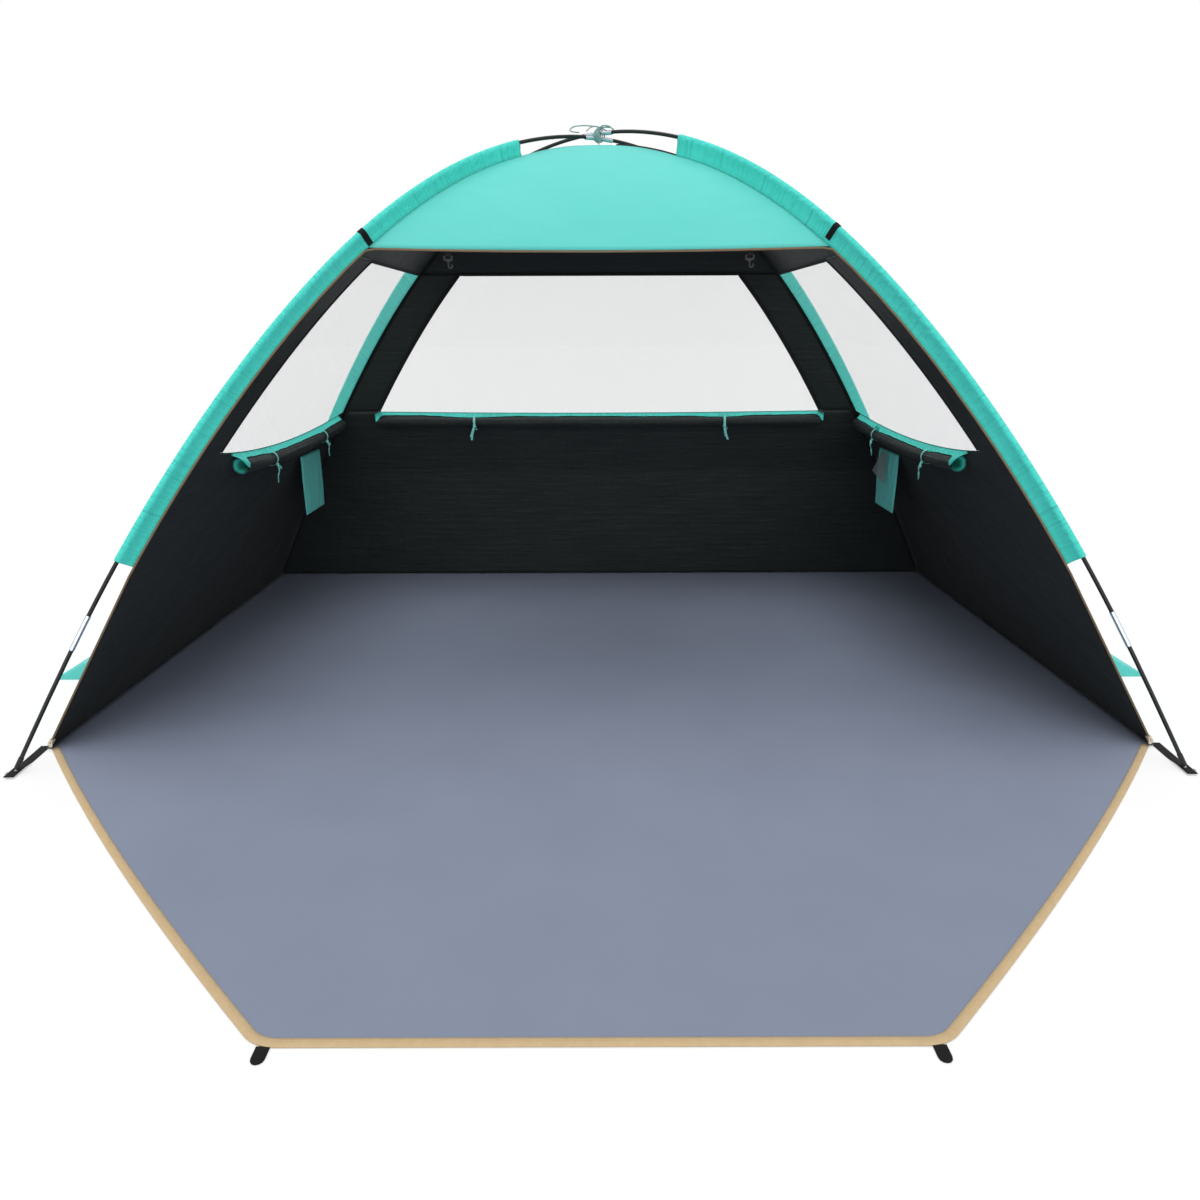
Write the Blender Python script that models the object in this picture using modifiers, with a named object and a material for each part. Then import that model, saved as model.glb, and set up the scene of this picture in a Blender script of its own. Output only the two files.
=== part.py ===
"""A beach tent with a front porch: two crossed poles, four panels hung from their sleeves, and a floor.

Metres. X runs across, Y to the back and Z up. The origin is on the ground under the crossing of the poles.
A leg is the half of a pole from a foot to the crown, named by its side (-1 left, 1 right) and its end
(-1 front, 1 back). Lengths along a leg start at the foot. Depths under a pole point to the tent's inside.
"""
import math

import bmesh
import bpy
import numpy as np
from mathutils import Matrix, Vector

SIDES = {"left": -1, "right": 1}
ENDS = {"front": -1, "back": 1}
Z_AXIS = Vector((0, 0, 1))

# The pitched frame. The bend shares make a pole bend more at the crown than an even elastic curve.
foot_half_width = 1.200
foot_half_depth = 0.780
pole_length = 4.055
pole_steps = 48
second_bend_share = 0.28
third_bend_share = 0.18

# The gap that neighbouring solids keep, the length by which a cutter runs past what it cuts, and the
# distance under which a curve's points are one.
gap = 0.0003
overrun = 0.010
weld = 0.000001

# Poles
rod_radius = 0.00425
rod_bore = 0.0026
shock_cord_radius = 0.0015
ferrule_radius = 0.0052
ferrule_length = 0.078
ferrule_place = 0.317
section_length = 0.570
tip_ferrule_length = 0.026
step_length = 0.0002
cord_end_room = 0.012
hidden_joints = (1, 2, 4, 5)

# Cloth
cloth = 0.0010
seam_depth = 0.033
crown_depth = 0.022

# Sleeves
sleeve_start = 0.482
sleeve_end = 1.800
sleeve_wall = 0.0010
bulb_radius = 0.0080
bulb_open_angle = math.radians(25)
bulb_steps = 6
neck_depth = 0.025
flange_half = 0.0012
flange_reach = 0.0010
throat_half = 0.0003
throat_rise = 0.0020

# Heights of the hem, the window tops and the sills
hem_height = 1.035
hem_sag = 0.007
hem_sag_rows = 4
canopy_columns = 10
window_top = 1.016
sill_height = 0.603
side_sill_sag = 0.032
back_sill_sag = 0.006
crown_opening = 0.022
side_band = 0.118
back_band = 0.112

# Floor and porch. The insets are from the feet to the floor's corners, and from those to the porch's.
floor_front_inset = 0.005
floor_front_setback = 0.105
floor_back_inset = 0.025
floor_back_setback = 0.062
floor_thickness = 0.0016
porch_inset = 0.010
porch_front_half = 0.440
porch_reach = 1.494
porch_bow = 0.030
porch_corner_radius = 0.045
porch_cloth = 0.0010
binding_width = 0.022
binding_wall = 0.0006
binding_edge = 0.0012
porch_tab_width = 0.018
porch_tab_length = 0.026
porch_tab_thickness = 0.0018
porch_tab_place = 0.428

# Rolled window covers, from the seam that they hang from
roll_radius = 0.0195
roll_wall = 0.0030
roll_seat = 0.0006
roll_drop = 0.021
roll_mouth = 0.070
roll_start = 0.125
roll_corner_room = 0.050
roll_end_share = 0.985
tie_pinch_share = 0.22
tie_spread_share = 0.06
side_tie_shares = (0.27, 0.78)
back_tie_shares = (0.22, 0.78)
roll_steps = 20
normal_share = 0.01

# Inner pockets
pocket_width = 0.180
pocket_height = 0.178
pocket_hollow = 0.010
pocket_place = 0.265
pocket_top = 0.494
pocket_seat = 0.0007

# Sand pockets
sand_length = 0.450
sand_reach = 0.220
sand_height = 0.140
sand_place = -0.285
sand_mouth = 0.030
sand_rim = 0.0030
sand_seat = 0.0011

# Straps and hooks
hem_strap_width = 0.014
hem_strap_thickness = 0.0012
hem_strap_place = 0.012
hem_strap_room = 0.004
tab_place_share = 0.6607
tab_width = 0.012
tab_neck = 0.008
tab_wall = 0.0012
tab_hole = 0.0024
hook_thickness = 0.0026
hook_bar = 0.0024
hook_width = 0.0200
hook_slot_width = 0.0130
hook_slot_height = 0.0040
hook_frame = 0.0030
hook_drop = 0.020
hook_mouth = 0.0050
door_tape_radius = 0.0022
door_tape_rise = 0.0040
hem_corner = 0.012

# Feet
strap_width = 0.020
strap_thickness = 0.0018
strap_overshoot = 0.026
strap_tuck = 0.014
strap_rise_length = 0.030
eyelet_radius = 0.0042
pin_radius = 0.0020
pin_depth = 0.030
ring_wire = 0.0015
ring_radius = 0.0085

# Zip sliders and their pulls
slider_wall = 0.0012
slider_room = 0.0006
slider_bite = 0.0060
slider_length = 0.0140
slider_place = 0.0080
bail_wire = 0.0012
bail_hole = 0.0016
bail_width = 0.0020
bail_rise_share = 0.75
pull_bar = 0.0016
pull_width = 0.0076
pull_frame = 0.0022
pull_slot_height = 0.0034
pull_length = 0.0130
pull_thickness = 0.0014

# The crown's patch and tie
patch_reach = 0.040
tie_cord_radius = 0.0014
tie_root_depth = -0.0150
crown_tie_points = [
    (0.0010, -0.0110, -0.0100),
    (0.0010, -0.0090, 0.0040),
    (0.0010, -0.0070, 0.0105),
    (0.0010, 0.0000, 0.0128),
    (0.0010, 0.0070, 0.0105),
    (0.0005, 0.0090, 0.0040),
    (-0.0005, 0.0092, -0.0070),
    (-0.0015, 0.0060, -0.0125),
    (-0.0025, 0.0000, -0.0140),
    (-0.0035, -0.0085, -0.0125),
    (-0.0045, -0.0120, -0.0060),
    (-0.0050, -0.0124, 0.0050),
    (-0.0045, -0.0085, 0.0125),
    (0.0000, -0.0050, 0.0168),
    (0.0130, -0.0020, 0.0185),
    (0.0290, 0.0020, 0.0185),
    (0.0370, 0.0090, 0.0140),
    (0.0310, 0.0150, 0.0115),
    (0.0180, 0.0150, 0.0150),
    (0.0040, 0.0080, 0.0200),
    (-0.0150, 0.0030, 0.0220),
    (-0.0370, -0.0050, 0.0215),
    (-0.0580, -0.0160, 0.0175),
    (-0.0690, -0.0270, 0.0090),
    (-0.0640, -0.0330, 0.0030),
    (-0.0470, -0.0290, 0.0020),
]

COLOURS = {
    "mint": (0x70E3DA, 0.75, 0.0),
    "sleeve_mint": (0x3FCBBD, 0.75, 0.0),
    "black_cloth": (0x1E2324, 0.85, 0.0),
    "mesh": (0xE4E4E4, 0.80, 0.0),
    "floor_grey": (0x7C8598, 0.70, 0.0),
    "tan_tape": (0xD0B68C, 0.80, 0.0),
    "webbing": (0x0B0B0A, 0.85, 0.0),
    "rod": (0x101011, 0.35, 0.0),
    "steel": (0xC5CAD2, 0.30, 1.0),
    "elastic": (0xE8E6DE, 0.80, 0.0),
    "cream": (0xF1E7D2, 0.50, 0.0),
    "cord": (0x7FA8A4, 0.80, 0.0),
    "hook_black": (0x1A1A1C, 0.45, 0.0),
}


def clear_scene():
    for thing in list(bpy.data.objects):
        bpy.data.objects.remove(thing, do_unlink=True)


def new_collection(name):
    collection = bpy.data.collections.new(name)
    bpy.context.scene.collection.children.link(collection)
    return collection


def linear(channel):
    share = channel / 255
    return share / 12.92 if share <= 0.04045 else ((share + 0.055) / 1.055) ** 2.4


def make_material(name):
    colour, roughness, metallic = COLOURS[name]
    material = bpy.data.materials.new(name)
    material.use_nodes = True
    shader = material.node_tree.nodes["Principled BSDF"]
    channels = [linear(colour >> shift & 255) for shift in (16, 8, 0)]
    shader.inputs["Base Color"].default_value = (*channels, 1)
    shader.inputs["Roughness"].default_value = roughness
    shader.inputs["Metallic"].default_value = metallic
    material.diffuse_color = (*channels, 1)
    return material


clear_scene()
parts = new_collection("beach_tent")
cutters = new_collection("cutters")
materials = {name: make_material(name) for name in COLOURS}


def add_part(name, mesh, material, smooth_angle=0.6):
    """Puts a mesh into the tent as a named sub-part."""
    part = bpy.data.objects.new(name, mesh)
    mesh.materials.clear()
    mesh.materials.append(materials[material])
    if smooth_angle:
        mesh.shade_smooth()
        mesh.set_sharp_from_angle(angle=smooth_angle)
    parts.objects.link(part)
    return part


def hold(part, holder):
    """Makes a part move with its holder, from where it is."""
    part.parent = holder
    part.matrix_parent_inverse = holder.matrix_basis.inverted()


def add_cutter(name, mesh):
    cutter = bpy.data.objects.new(name, mesh)
    cutter.hide_render = True
    cutter.display_type = "WIRE"
    cutters.objects.link(cutter)
    return cutter


def boolean(part, other, operation="DIFFERENCE"):
    modifier = part.modifiers.new(operation.lower(), "BOOLEAN")
    modifier.operation = operation
    modifier.object = other
    modifier.solver = "EXACT"


def taken_mesh(holder):
    """The mesh that a helper object makes. The helper goes."""
    bpy.context.view_layer.update()
    graph = bpy.context.evaluated_depsgraph_get()
    mesh = bpy.data.meshes.new_from_object(holder.evaluated_get(graph))
    bpy.data.objects.remove(holder)
    return mesh


def mesh_of(curve):
    """The mesh that a curve makes, with its caps welded on."""
    holder = bpy.data.objects.new("holder", curve)
    bpy.context.scene.collection.objects.link(holder)
    mesh = taken_mesh(holder)
    bm = bmesh.new()
    bm.from_mesh(mesh)
    bmesh.ops.remove_doubles(bm, verts=bm.verts, dist=weld)
    bmesh.ops.recalc_face_normals(bm, faces=bm.faces)
    bm.to_mesh(mesh)
    bm.free()
    return mesh


def tube_mesh(points, radii, resolution=2):
    """A round tube along points. radii is one radius, or one for each point."""
    radii = radii if hasattr(radii, "__len__") else [radii] * len(points)
    curve = bpy.data.curves.new("tube", "CURVE")
    curve.dimensions = "3D"
    curve.twist_mode = "Z_UP"
    curve.bevel_depth = 1.0
    curve.bevel_resolution = resolution
    curve.use_fill_caps = True
    spline = curve.splines.new("POLY")
    spline.points.add(len(points) - 1)
    for point, place, radius in zip(spline.points, points, radii):
        point.co = (*place, 1)
        point.radius = radius
    return mesh_of(curve)


def plate_mesh(outlines, thickness, matrix=Matrix()):
    """Flat outlines, the first one the rim and the others holes, extruded about their plane."""
    curve = bpy.data.curves.new("plate", "CURVE")
    curve.dimensions = "2D"
    curve.fill_mode = "BOTH"
    curve.extrude = thickness / 2
    for outline in outlines:
        spline = curve.splines.new("POLY")
        spline.points.add(len(outline) - 1)
        spline.use_cyclic_u = True
        for point, place in zip(spline.points, outline):
            point.co = (*place, 0, 1)
    return placed(mesh_of(curve), matrix)


def placed(mesh, matrix):
    """The mesh moved by a matrix, with its faces turned back out if the matrix mirrors it."""
    mesh.transform(matrix)
    if matrix.is_negative:
        mesh.flip_normals()
    return mesh


def box_mesh(low, high):
    bm = bmesh.new()
    size = [b - a for a, b in zip(low, high)]
    middle = [(a + b) / 2 for a, b in zip(low, high)]
    bmesh.ops.create_cube(bm, size=1)
    bmesh.ops.transform(bm, matrix=Matrix.Translation(middle) @ Matrix.Diagonal((*size, 1)), verts=bm.verts)
    mesh = bpy.data.meshes.new("box")
    bm.to_mesh(mesh)
    bm.free()
    return mesh


def cylinder_mesh(start, end, radius, sides=12):
    bm = bmesh.new()
    start, end = Vector(start), Vector(end)
    axis = end - start
    turn = axis.to_track_quat("Z", "Y").to_matrix().to_4x4()
    bmesh.ops.create_cone(
        bm, cap_ends=True, segments=sides, radius1=radius, radius2=radius, depth=axis.length,
        matrix=Matrix.Translation((start + end) / 2) @ turn,
    )
    mesh = bpy.data.meshes.new("cylinder")
    bm.to_mesh(mesh)
    bm.free()
    return mesh


def prism_mesh(rings):
    """A solid whose cross-sections are rings of points, one after the other."""
    bm = bmesh.new()
    rows = [[bm.verts.new(point) for point in ring] for ring in rings]
    for near, far in zip(rows, rows[1:]):
        for k in range(len(near)):
            after = (k + 1) % len(near)
            bm.faces.new([near[k], near[after], far[after], far[k]])
    bm.faces.new(rows[0])
    bm.faces.new(rows[-1])
    bmesh.ops.recalc_face_normals(bm, faces=bm.faces)
    mesh = bpy.data.meshes.new("prism")
    bm.to_mesh(mesh)
    bm.free()
    return mesh


def arc(centre, radius, start, end, steps):
    turns = [start + (end - start) * k / steps for k in range(steps + 1)]
    return [(centre[0] + radius * math.cos(turn), centre[1] + radius * math.sin(turn)) for turn in turns]


def thick_mesh(bm, thickness):
    """The mesh of a surface, given half of its thickness to either side."""
    bmesh.ops.recalc_face_normals(bm, faces=bm.faces)
    surface = bpy.data.meshes.new("surface")
    bm.to_mesh(surface)
    bm.free()
    holder = bpy.data.objects.new("holder", surface)
    bpy.context.scene.collection.objects.link(holder)
    solidify = holder.modifiers.new("thickness", "SOLIDIFY")
    solidify.thickness = thickness
    solidify.offset = 0
    return taken_mesh(holder)


def sheet(name, columns, rows, place, material, keep=None, thickness=cloth):
    """A cloth panel: a grid whose point (column, row) goes to place(column, row), given its thickness."""
    bm = bmesh.new()
    bmesh.ops.create_grid(bm, x_segments=columns, y_segments=rows, size=0.5)
    if keep:
        left_out = []
        for face in bm.faces:
            middle = face.calc_center_median()
            column = math.floor((middle.x + 0.5) * columns)
            row = math.floor((middle.y + 0.5) * rows)
            if not keep(column, row):
                left_out.append(face)
        bmesh.ops.delete(bm, geom=left_out, context="FACES")
    for vertex in bm.verts:
        column = round((vertex.co.x + 0.5) * columns)
        row = round((vertex.co.y + 0.5) * rows)
        vertex.co = place(column, row)
    return add_part(name, thick_mesh(bm, thickness), material)


# The floor's corners, which the straps hold to the feet

floor_front_half = foot_half_width - floor_front_inset
floor_front_depth = foot_half_depth - floor_front_setback
floor_back_half = foot_half_width - floor_back_inset
floor_back_depth = foot_half_depth - floor_back_setback


# The bent pole: its plane holds the crown's vertical, so a point is a reach from that and a height.

half_span = math.hypot(foot_half_width, foot_half_depth)
across = foot_half_width / half_span
along = foot_half_depth / half_span
fine_parts = 10
fine_steps = pole_steps * fine_parts


def bend_at(share):
    """The pole's curvature at a share of its length from the crown, relative to its least bent form."""
    turn = math.pi * share
    return math.cos(turn) + second_bend_share * math.cos(3 * turn) + third_bend_share * math.cos(5 * turn)


def bent_line(lean):
    """Reach, height and slope at even steps from a foot to the other one, for a slope at the foot."""
    shares = np.linspace(-0.5, 0.5, fine_steps + 1)
    bends = np.array([bend_at(share) for share in shares])
    turned = np.concatenate([[0], np.cumsum((bends[1:] + bends[:-1]) / 2)])
    slope = lean - 2 * lean * turned / turned[-1]
    middle = (slope[1:] + slope[:-1]) / 2
    step = pole_length / fine_steps
    reach = np.concatenate([[0], np.cumsum(np.cos(middle))]) * step
    height = np.concatenate([[0], np.cumsum(np.sin(middle))]) * step
    return reach[-1] / 2 - reach, height, slope


def foot_lean():
    """The slope at the foot that makes the bent pole just reach from foot to foot."""
    low, high = 0.0, math.pi / 2
    for _ in range(50):
        lean = (low + high) / 2
        reach = bent_line(lean)[0]
        low, high = (lean, high) if reach[0] > half_span else (low, lean)
    return lean


lean_at_foot = foot_lean()
fine_reach, fine_height, fine_slope = bent_line(lean_at_foot)
leg_length = pole_length / 2
pole_stations = [pole_length * k / pole_steps for k in range(pole_steps + 1)]
stations = pole_stations[: pole_steps // 2 + 1]
station_reach = fine_reach[: fine_steps // 2 + 1 : fine_parts]
station_height = fine_height[: fine_steps // 2 + 1 : fine_parts]
station_slope = fine_slope[: fine_steps // 2 + 1 : fine_parts]
crown_height = station_height[-1]
crossing_lift = ferrule_radius + gap / 2


def pole_lift(side, end):
    """The share by which a pole is raised over the mean line. The right front leg's pole passes over."""
    return side * -end * crossing_lift / crown_height


def leg_frame(side, end):
    """The leg's outward direction on the ground, and the level direction square to its plane."""
    outward = Vector((side * across, end * along, 0))
    return outward, Vector((-outward.y, outward.x, 0))


def leg_point(side, end, place, out=0.0, aside=0.0, lift=0.0):
    """A point of the leg's line at a place along it, moved out of the tent and aside from the leg's plane."""
    reach = np.interp(place, stations, station_reach)
    height = np.interp(place, stations, station_height) * (1 + lift)
    slope = np.interp(place, stations, station_slope)
    outward, level = leg_frame(side, end)
    point = outward * float(reach + out * math.sin(slope)) + level * aside
    point.z = float(height + out * math.cos(slope))
    return point


def places_between(start, end):
    """The places from start to end on a pole, with the stations between them."""
    inner = [place for place in pole_stations if start + step_length < place < end - step_length]
    return [start, *inner, end]


def pole_point(side, place):
    """A point of a pole's line at a place along it, from its front foot, which is on this side."""
    lift = pole_lift(side, -1)
    if place <= leg_length:
        return leg_point(side, -1, place, lift=lift)
    return leg_point(-side, 1, pole_length - place, lift=lift)


def drawn_out(points):
    """The points, with a further point beyond each end, for a cutter that runs right through."""
    first = points[0] + (points[0] - points[1]).normalized() * overrun
    last = points[-1] + (points[-1] - points[-2]).normalized() * overrun
    return [first, *points, last]


# Seams: the lines under the poles where neighbouring panels meet.


def seam_depth_at(place):
    """The seam is nearer to the pole at the crown, where no sleeve holds them apart."""
    share = min(max((place - sleeve_end) / (leg_length - sleeve_end), 0), 1)
    return seam_depth + (crown_depth - seam_depth) * share


seam_reach = []
seam_height = []
for place, reach, height, slope in zip(stations, station_reach, station_height, station_slope):
    seam_reach.append(reach - seam_depth_at(place) * math.sin(slope))
    seam_height.append(height - seam_depth_at(place) * math.cos(slope))


def place_of_height(height):
    return float(np.interp(height, seam_height, stations))


def seam_at(place):
    return float(np.interp(place, stations, seam_reach)), float(np.interp(place, stations, seam_height))


low_reach, low_height = seam_at(sleeve_start)


def edge_at(end, height):
    """The corner line of the tent at a height, as half width and signed depth. It leaves the pole under
    the sleeve and runs straight to the floor's corner."""
    if height >= low_height:
        reach = float(np.interp(height, seam_height, seam_reach))
        return reach * across, end * reach * along
    half, depth = (floor_front_half, floor_front_depth) if end < 0 else (floor_back_half, floor_back_depth)
    share = height / low_height
    low = (low_reach * across, low_reach * along)
    return half + (low[0] - half) * share, end * (depth + (low[1] - depth) * share)


def seat_at(height):
    """How far a panel's edge stays from the plane of its seam: outside the sleeve's flange, if it is there."""
    if low_height <= height <= seam_at(sleeve_end)[1]:
        return flange_half + gap + cloth / 2
    return gap + cloth / 2


def side_point(side, height, share, front_room=0.0):
    """A point of a side panel's surface, at a share of the way from its front edge to its back edge."""
    front_half, front_depth = edge_at(-1, height)
    back_half, back_depth = edge_at(1, height)
    seat = seat_at(height) / across
    start = front_depth + seat + front_room
    depth = start + (back_depth - seat - start) * share
    whole = (depth - front_depth) / (back_depth - front_depth)
    return Vector((side * (front_half + (back_half - front_half) * whole), depth, height))


def gable_point(end, height, share, room=0.0):
    """A point of the back panel's or the canopy's surface, from -1 at its left edge to 1 at its right."""
    half, depth = edge_at(end, height)
    return Vector(((half - seat_at(height) / along - room) * share, depth, height))


def side_sill(share):
    return sill_height - side_sill_sag * 4 * share * (1 - share)


def back_sill(share):
    return sill_height - back_sill_sag * (1 - share * share)


foot_height = floor_thickness + gap + cloth / 2


# Poles: their tips and joints are steel ferrules on rods, with an elastic cord through them all.


def make_rod(name, side, start, end, swells):
    """A stretch of rod, hollow right through. It is as thick as a ferrule between the places of a swell."""
    edges = [edge for swell in swells for edge in swell if start < edge < end]
    places = [p for p in places_between(start, end) if all(abs(p - edge) > step_length for edge in edges)]
    places += [edge + shift for edge in edges for shift in (-step_length / 2, step_length / 2)]
    places.sort()
    radii = [ferrule_radius if any(a < p < b for a, b in swells) else rod_radius for p in places]
    rod = add_part(name, tube_mesh([pole_point(side, p) for p in places], radii), "rod")
    middle_line = drawn_out([pole_point(side, p) for p in places_between(start, end)])
    boolean(rod, add_cutter(name + "_bore", tube_mesh(middle_line, rod_bore, resolution=1)))


def make_ferrule(name, side, middle):
    """A steel sleeve round the joint of two rods."""
    places = places_between(middle - ferrule_length / 2, middle + ferrule_length / 2)
    points = [pole_point(side, place) for place in places]
    ferrule = add_part(name, tube_mesh(points, ferrule_radius), "steel")
    boolean(ferrule, add_cutter(name + "_bore", tube_mesh(drawn_out(points), rod_radius + gap)))


def make_pole(name, side):
    joint, far_joint = ferrule_place, pole_length - ferrule_place
    tip, far_tip = tip_place, pole_length - tip_place
    tip_swell = (tip - overrun, tip + tip_ferrule_length)
    far_swell = (far_tip - tip_ferrule_length, far_tip + overrun)
    inner = [ferrule_place + number * section_length for number in hidden_joints]
    swells = [(middle - ferrule_length / 2, middle + ferrule_length / 2) for middle in inner]
    make_rod(name + "_front_end", side, tip, joint - gap / 2, [tip_swell])
    make_rod(name + "_run", side, joint + gap / 2, far_joint - gap / 2, swells)
    make_rod(name + "_back_end", side, far_joint + gap / 2, far_tip, [far_swell])
    make_ferrule(name + "_front_ferrule", side, joint)
    make_ferrule(name + "_crown_ferrule", side, leg_length)
    make_ferrule(name + "_back_ferrule", side, far_joint)
    start = tip + pin_depth + cord_end_room
    line = [pole_point(side, place) for place in places_between(start, pole_length - start)]
    add_part(name + "_shock_cord", tube_mesh(line, shock_cord_radius, resolution=0), "elastic")


# The ring lies on the ground, the strap over it, and the pole's tip stands on the strap.

strap_top = 2 * ring_wire + gap + strap_thickness
tip_height = strap_top + gap + ferrule_radius * math.cos(lean_at_foot)
tip_place = tip_height / math.sin(lean_at_foot)


# Feet


def ring_mesh(centre, radius, wire, turns=14, sides=8):
    """A ring of round wire that lies flat."""
    bm = bmesh.new()
    rolls = [2 * math.pi * (m + 0.5) / sides for m in range(sides)]
    circles = []
    for k in range(turns):
        turn = 2 * math.pi * k / turns
        spoke = Vector((math.cos(turn), math.sin(turn), 0))
        circle = [spoke * (radius + wire * math.cos(roll)) + Z_AXIS * (wire * math.sin(roll)) for roll in rolls]
        circles.append([bm.verts.new(centre + point) for point in circle])
    for near, far in zip(circles, circles[1:] + circles[:1]):
        for m in range(sides):
            after = (m + 1) % sides
            bm.faces.new([near[m], near[after], far[after], far[m]])
    bmesh.ops.recalc_face_normals(bm, faces=bm.faces)
    mesh = bpy.data.meshes.new("ring")
    bm.to_mesh(mesh)
    bm.free()
    return mesh


def foot_axis(side, end):
    """The foot's point on the ground and the direction of the pole there."""
    foot = leg_point(side, end, 0)
    return foot, (leg_point(side, end, stations[1]) - foot).normalized()


def make_foot_pin(side, end, where):
    """A steel pin that goes up through the strap's eyelet into the pole, on a ring that lies on the ground."""
    foot, axis = foot_axis(side, end)
    low = foot + axis * (ring_wire / axis.z)
    high = leg_point(side, end, tip_place) + axis * pin_depth
    outward, _ = leg_frame(side, end)
    centre = low + outward * ring_radius
    centre.z = ring_wire * math.cos(math.pi / 8)
    pin = add_part(f"foot_pin_{where}", cylinder_mesh(low, high, pin_radius), "steel")
    boolean(pin, add_cutter(f"foot_ring_{where}", ring_mesh(centre, ring_radius, ring_wire)), "UNION")


def strap_start(side, end, eyelet):
    """Where a foot strap begins on its middle line. A front strap lies along the floor's side edge at its
    corner. A back strap ends square on to the floor's back edge."""
    out = cloth / 2
    if end > 0:
        return Vector((side * (floor_back_half - strap_width), floor_back_depth + out + gap, 0))
    corner = Vector((side * (floor_front_half + out), -floor_front_depth, 0))
    run = corner - eyelet
    run.z = 0
    turn = math.asin((strap_width / 2 + gap) / run.length)
    reach = run.length * math.cos(turn) + strap_tuck
    return eyelet.to_2d().to_3d() + Matrix.Rotation(-side * turn, 3, "Z") @ run.normalized() * reach


def make_foot_strap(side, end, where):
    """Webbing from the floor to the foot, flat on the ground and then over the ring."""
    foot, axis = foot_axis(side, end)
    raised = strap_top - strap_thickness / 2
    eyelet = foot + axis * (raised / axis.z)
    start = strap_start(side, end, eyelet)
    ahead = eyelet - start
    ahead.z = 0
    length = ahead.length
    ahead.normalize()
    aside = Vector((-ahead.y, ahead.x, 0)) * (strap_width / 2)
    skew = aside.y / ahead.y if end > 0 else 0
    low = strap_thickness / 2
    rise_end = length - 2 * ring_radius
    rise_start = rise_end - strap_rise_length
    marks = [(0, low), (rise_start, low), ((rise_start + rise_end) / 2, (low + raised) / 2)]
    marks += [(rise_end, raised), (length + strap_overshoot, raised)]

    def place(column, row):
        sign = 2 * column - 1
        distance, height = marks[row]
        if row == 0:
            distance -= sign * skew
        point = start + ahead * distance + aside * sign
        point.z = height
        return point

    strap = sheet(f"foot_strap_{where}", 1, len(marks) - 1, place, "webbing", thickness=strap_thickness)
    rise = Z_AXIS * overrun
    boolean(strap, add_cutter(f"eyelet_{where}", cylinder_mesh(eyelet - rise, eyelet + rise, eyelet_radius)))


# Sleeves: a teardrop tube round the pole, on a flange that lies between two panels.

bulb_inner = bulb_radius - sleeve_wall
bulb_turn = math.pi + 2 * bulb_open_angle
bulb_drop = bulb_inner * math.cos(bulb_turn / bulb_steps / 2) - ferrule_radius - gap


def bulb_arc(radius):
    return arc((0, -bulb_drop), radius, -bulb_open_angle, math.pi + bulb_open_angle, bulb_steps)


def sleeve_outer():
    right = [(flange_half, -seam_depth - flange_reach), (flange_half, -neck_depth)]
    return right + bulb_arc(bulb_radius) + [(-x, y) for x, y in reversed(right)]


def sleeve_inner():
    right = [(throat_half, throat_rise - neck_depth), (2 * throat_half, 2 * throat_rise - neck_depth)]
    return right + bulb_arc(bulb_inner) + [(-x, y) for x, y in reversed(right)]


def make_sleeve(side, end, where):
    lift = pole_lift(side, end)
    outer, inner = sleeve_outer(), sleeve_inner()
    count = len(outer)
    bm = bmesh.new()
    rings = []
    for place in places_between(sleeve_start, sleeve_end):
        ring = []
        for outline in (outer, inner):
            ring.append([bm.verts.new(leg_point(side, end, place, y, x, lift)) for x, y in outline])
        rings.append(ring)
    for near, far in zip(rings, rings[1:]):
        for wall in (0, 1):
            for k in range(count):
                after = (k + 1) % count
                bm.faces.new([near[wall][k], near[wall][after], far[wall][after], far[wall][k]])
    for ring in (rings[0], rings[-1]):
        for k in range(count):
            after = (k + 1) % count
            bm.faces.new([ring[0][k], ring[0][after], ring[1][after], ring[1][k]])
    bmesh.ops.recalc_face_normals(bm, faces=bm.faces)
    mesh = bpy.data.meshes.new("sleeve")
    bm.to_mesh(mesh)
    bm.free()
    add_part(f"sleeve_{where}", mesh, "sleeve_mint")


def make_hem_strap(side, side_name):
    """A webbing strap round the front sleeve, sewn to both faces of its neck."""
    grown = gap + hem_strap_thickness / 2
    right = [(flange_half + grown, -depth) for depth in (seam_depth - hem_strap_room, neck_depth)]
    outline = right + bulb_arc(bulb_radius + grown) + [(-x, y) for x, y in reversed(right)]
    middle = place_of_height(hem_height) + hem_strap_place
    lift = pole_lift(side, -1)

    def place(column, row):
        x, y = outline[column]
        return leg_point(side, -1, middle + hem_strap_width * (row / 2 - 0.5), y, x, lift)

    sheet(f"hem_strap_{side_name}", len(outline) - 1, 2, place, "webbing", thickness=hem_strap_thickness)


# Roof


def crown_places(height):
    """Places along a leg from a seam height up to the opening at the crown."""
    top = float(np.interp(-crown_opening, [-reach for reach in seam_reach], stations))
    return places_between(place_of_height(height), top)


def roof_seat(place):
    if place <= sleeve_end:
        return flange_half + gap + cloth / 2
    return gap + cloth / 2


def make_canopy():
    """The front roof panel, from its hem up. The hem hangs in a shallow curve between the sleeves."""
    columns = canopy_columns
    places = crown_places(hem_height)

    def place(column, row):
        reach, height = seam_at(places[row])
        share = 2 * column / columns - 1
        half = reach * across - roof_seat(places[row]) / along
        sag = hem_sag * (1 - share * share) * max(1 - row / hem_sag_rows, 0)
        return Vector((half * share, -reach * along, height - sag))

    sheet("front_canopy", columns, len(places) - 1, place, "mint")


def make_side_roof(side, side_name):
    columns = 6
    places = crown_places(window_top + gap)

    def place(column, row):
        reach, height = seam_at(places[row])
        half = reach * along - roof_seat(places[row]) / across
        return Vector((side * reach * across, half * (2 * column / columns - 1), height))

    sheet(f"roof_{side_name}", columns, len(places) - 1, place, "mint")


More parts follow.
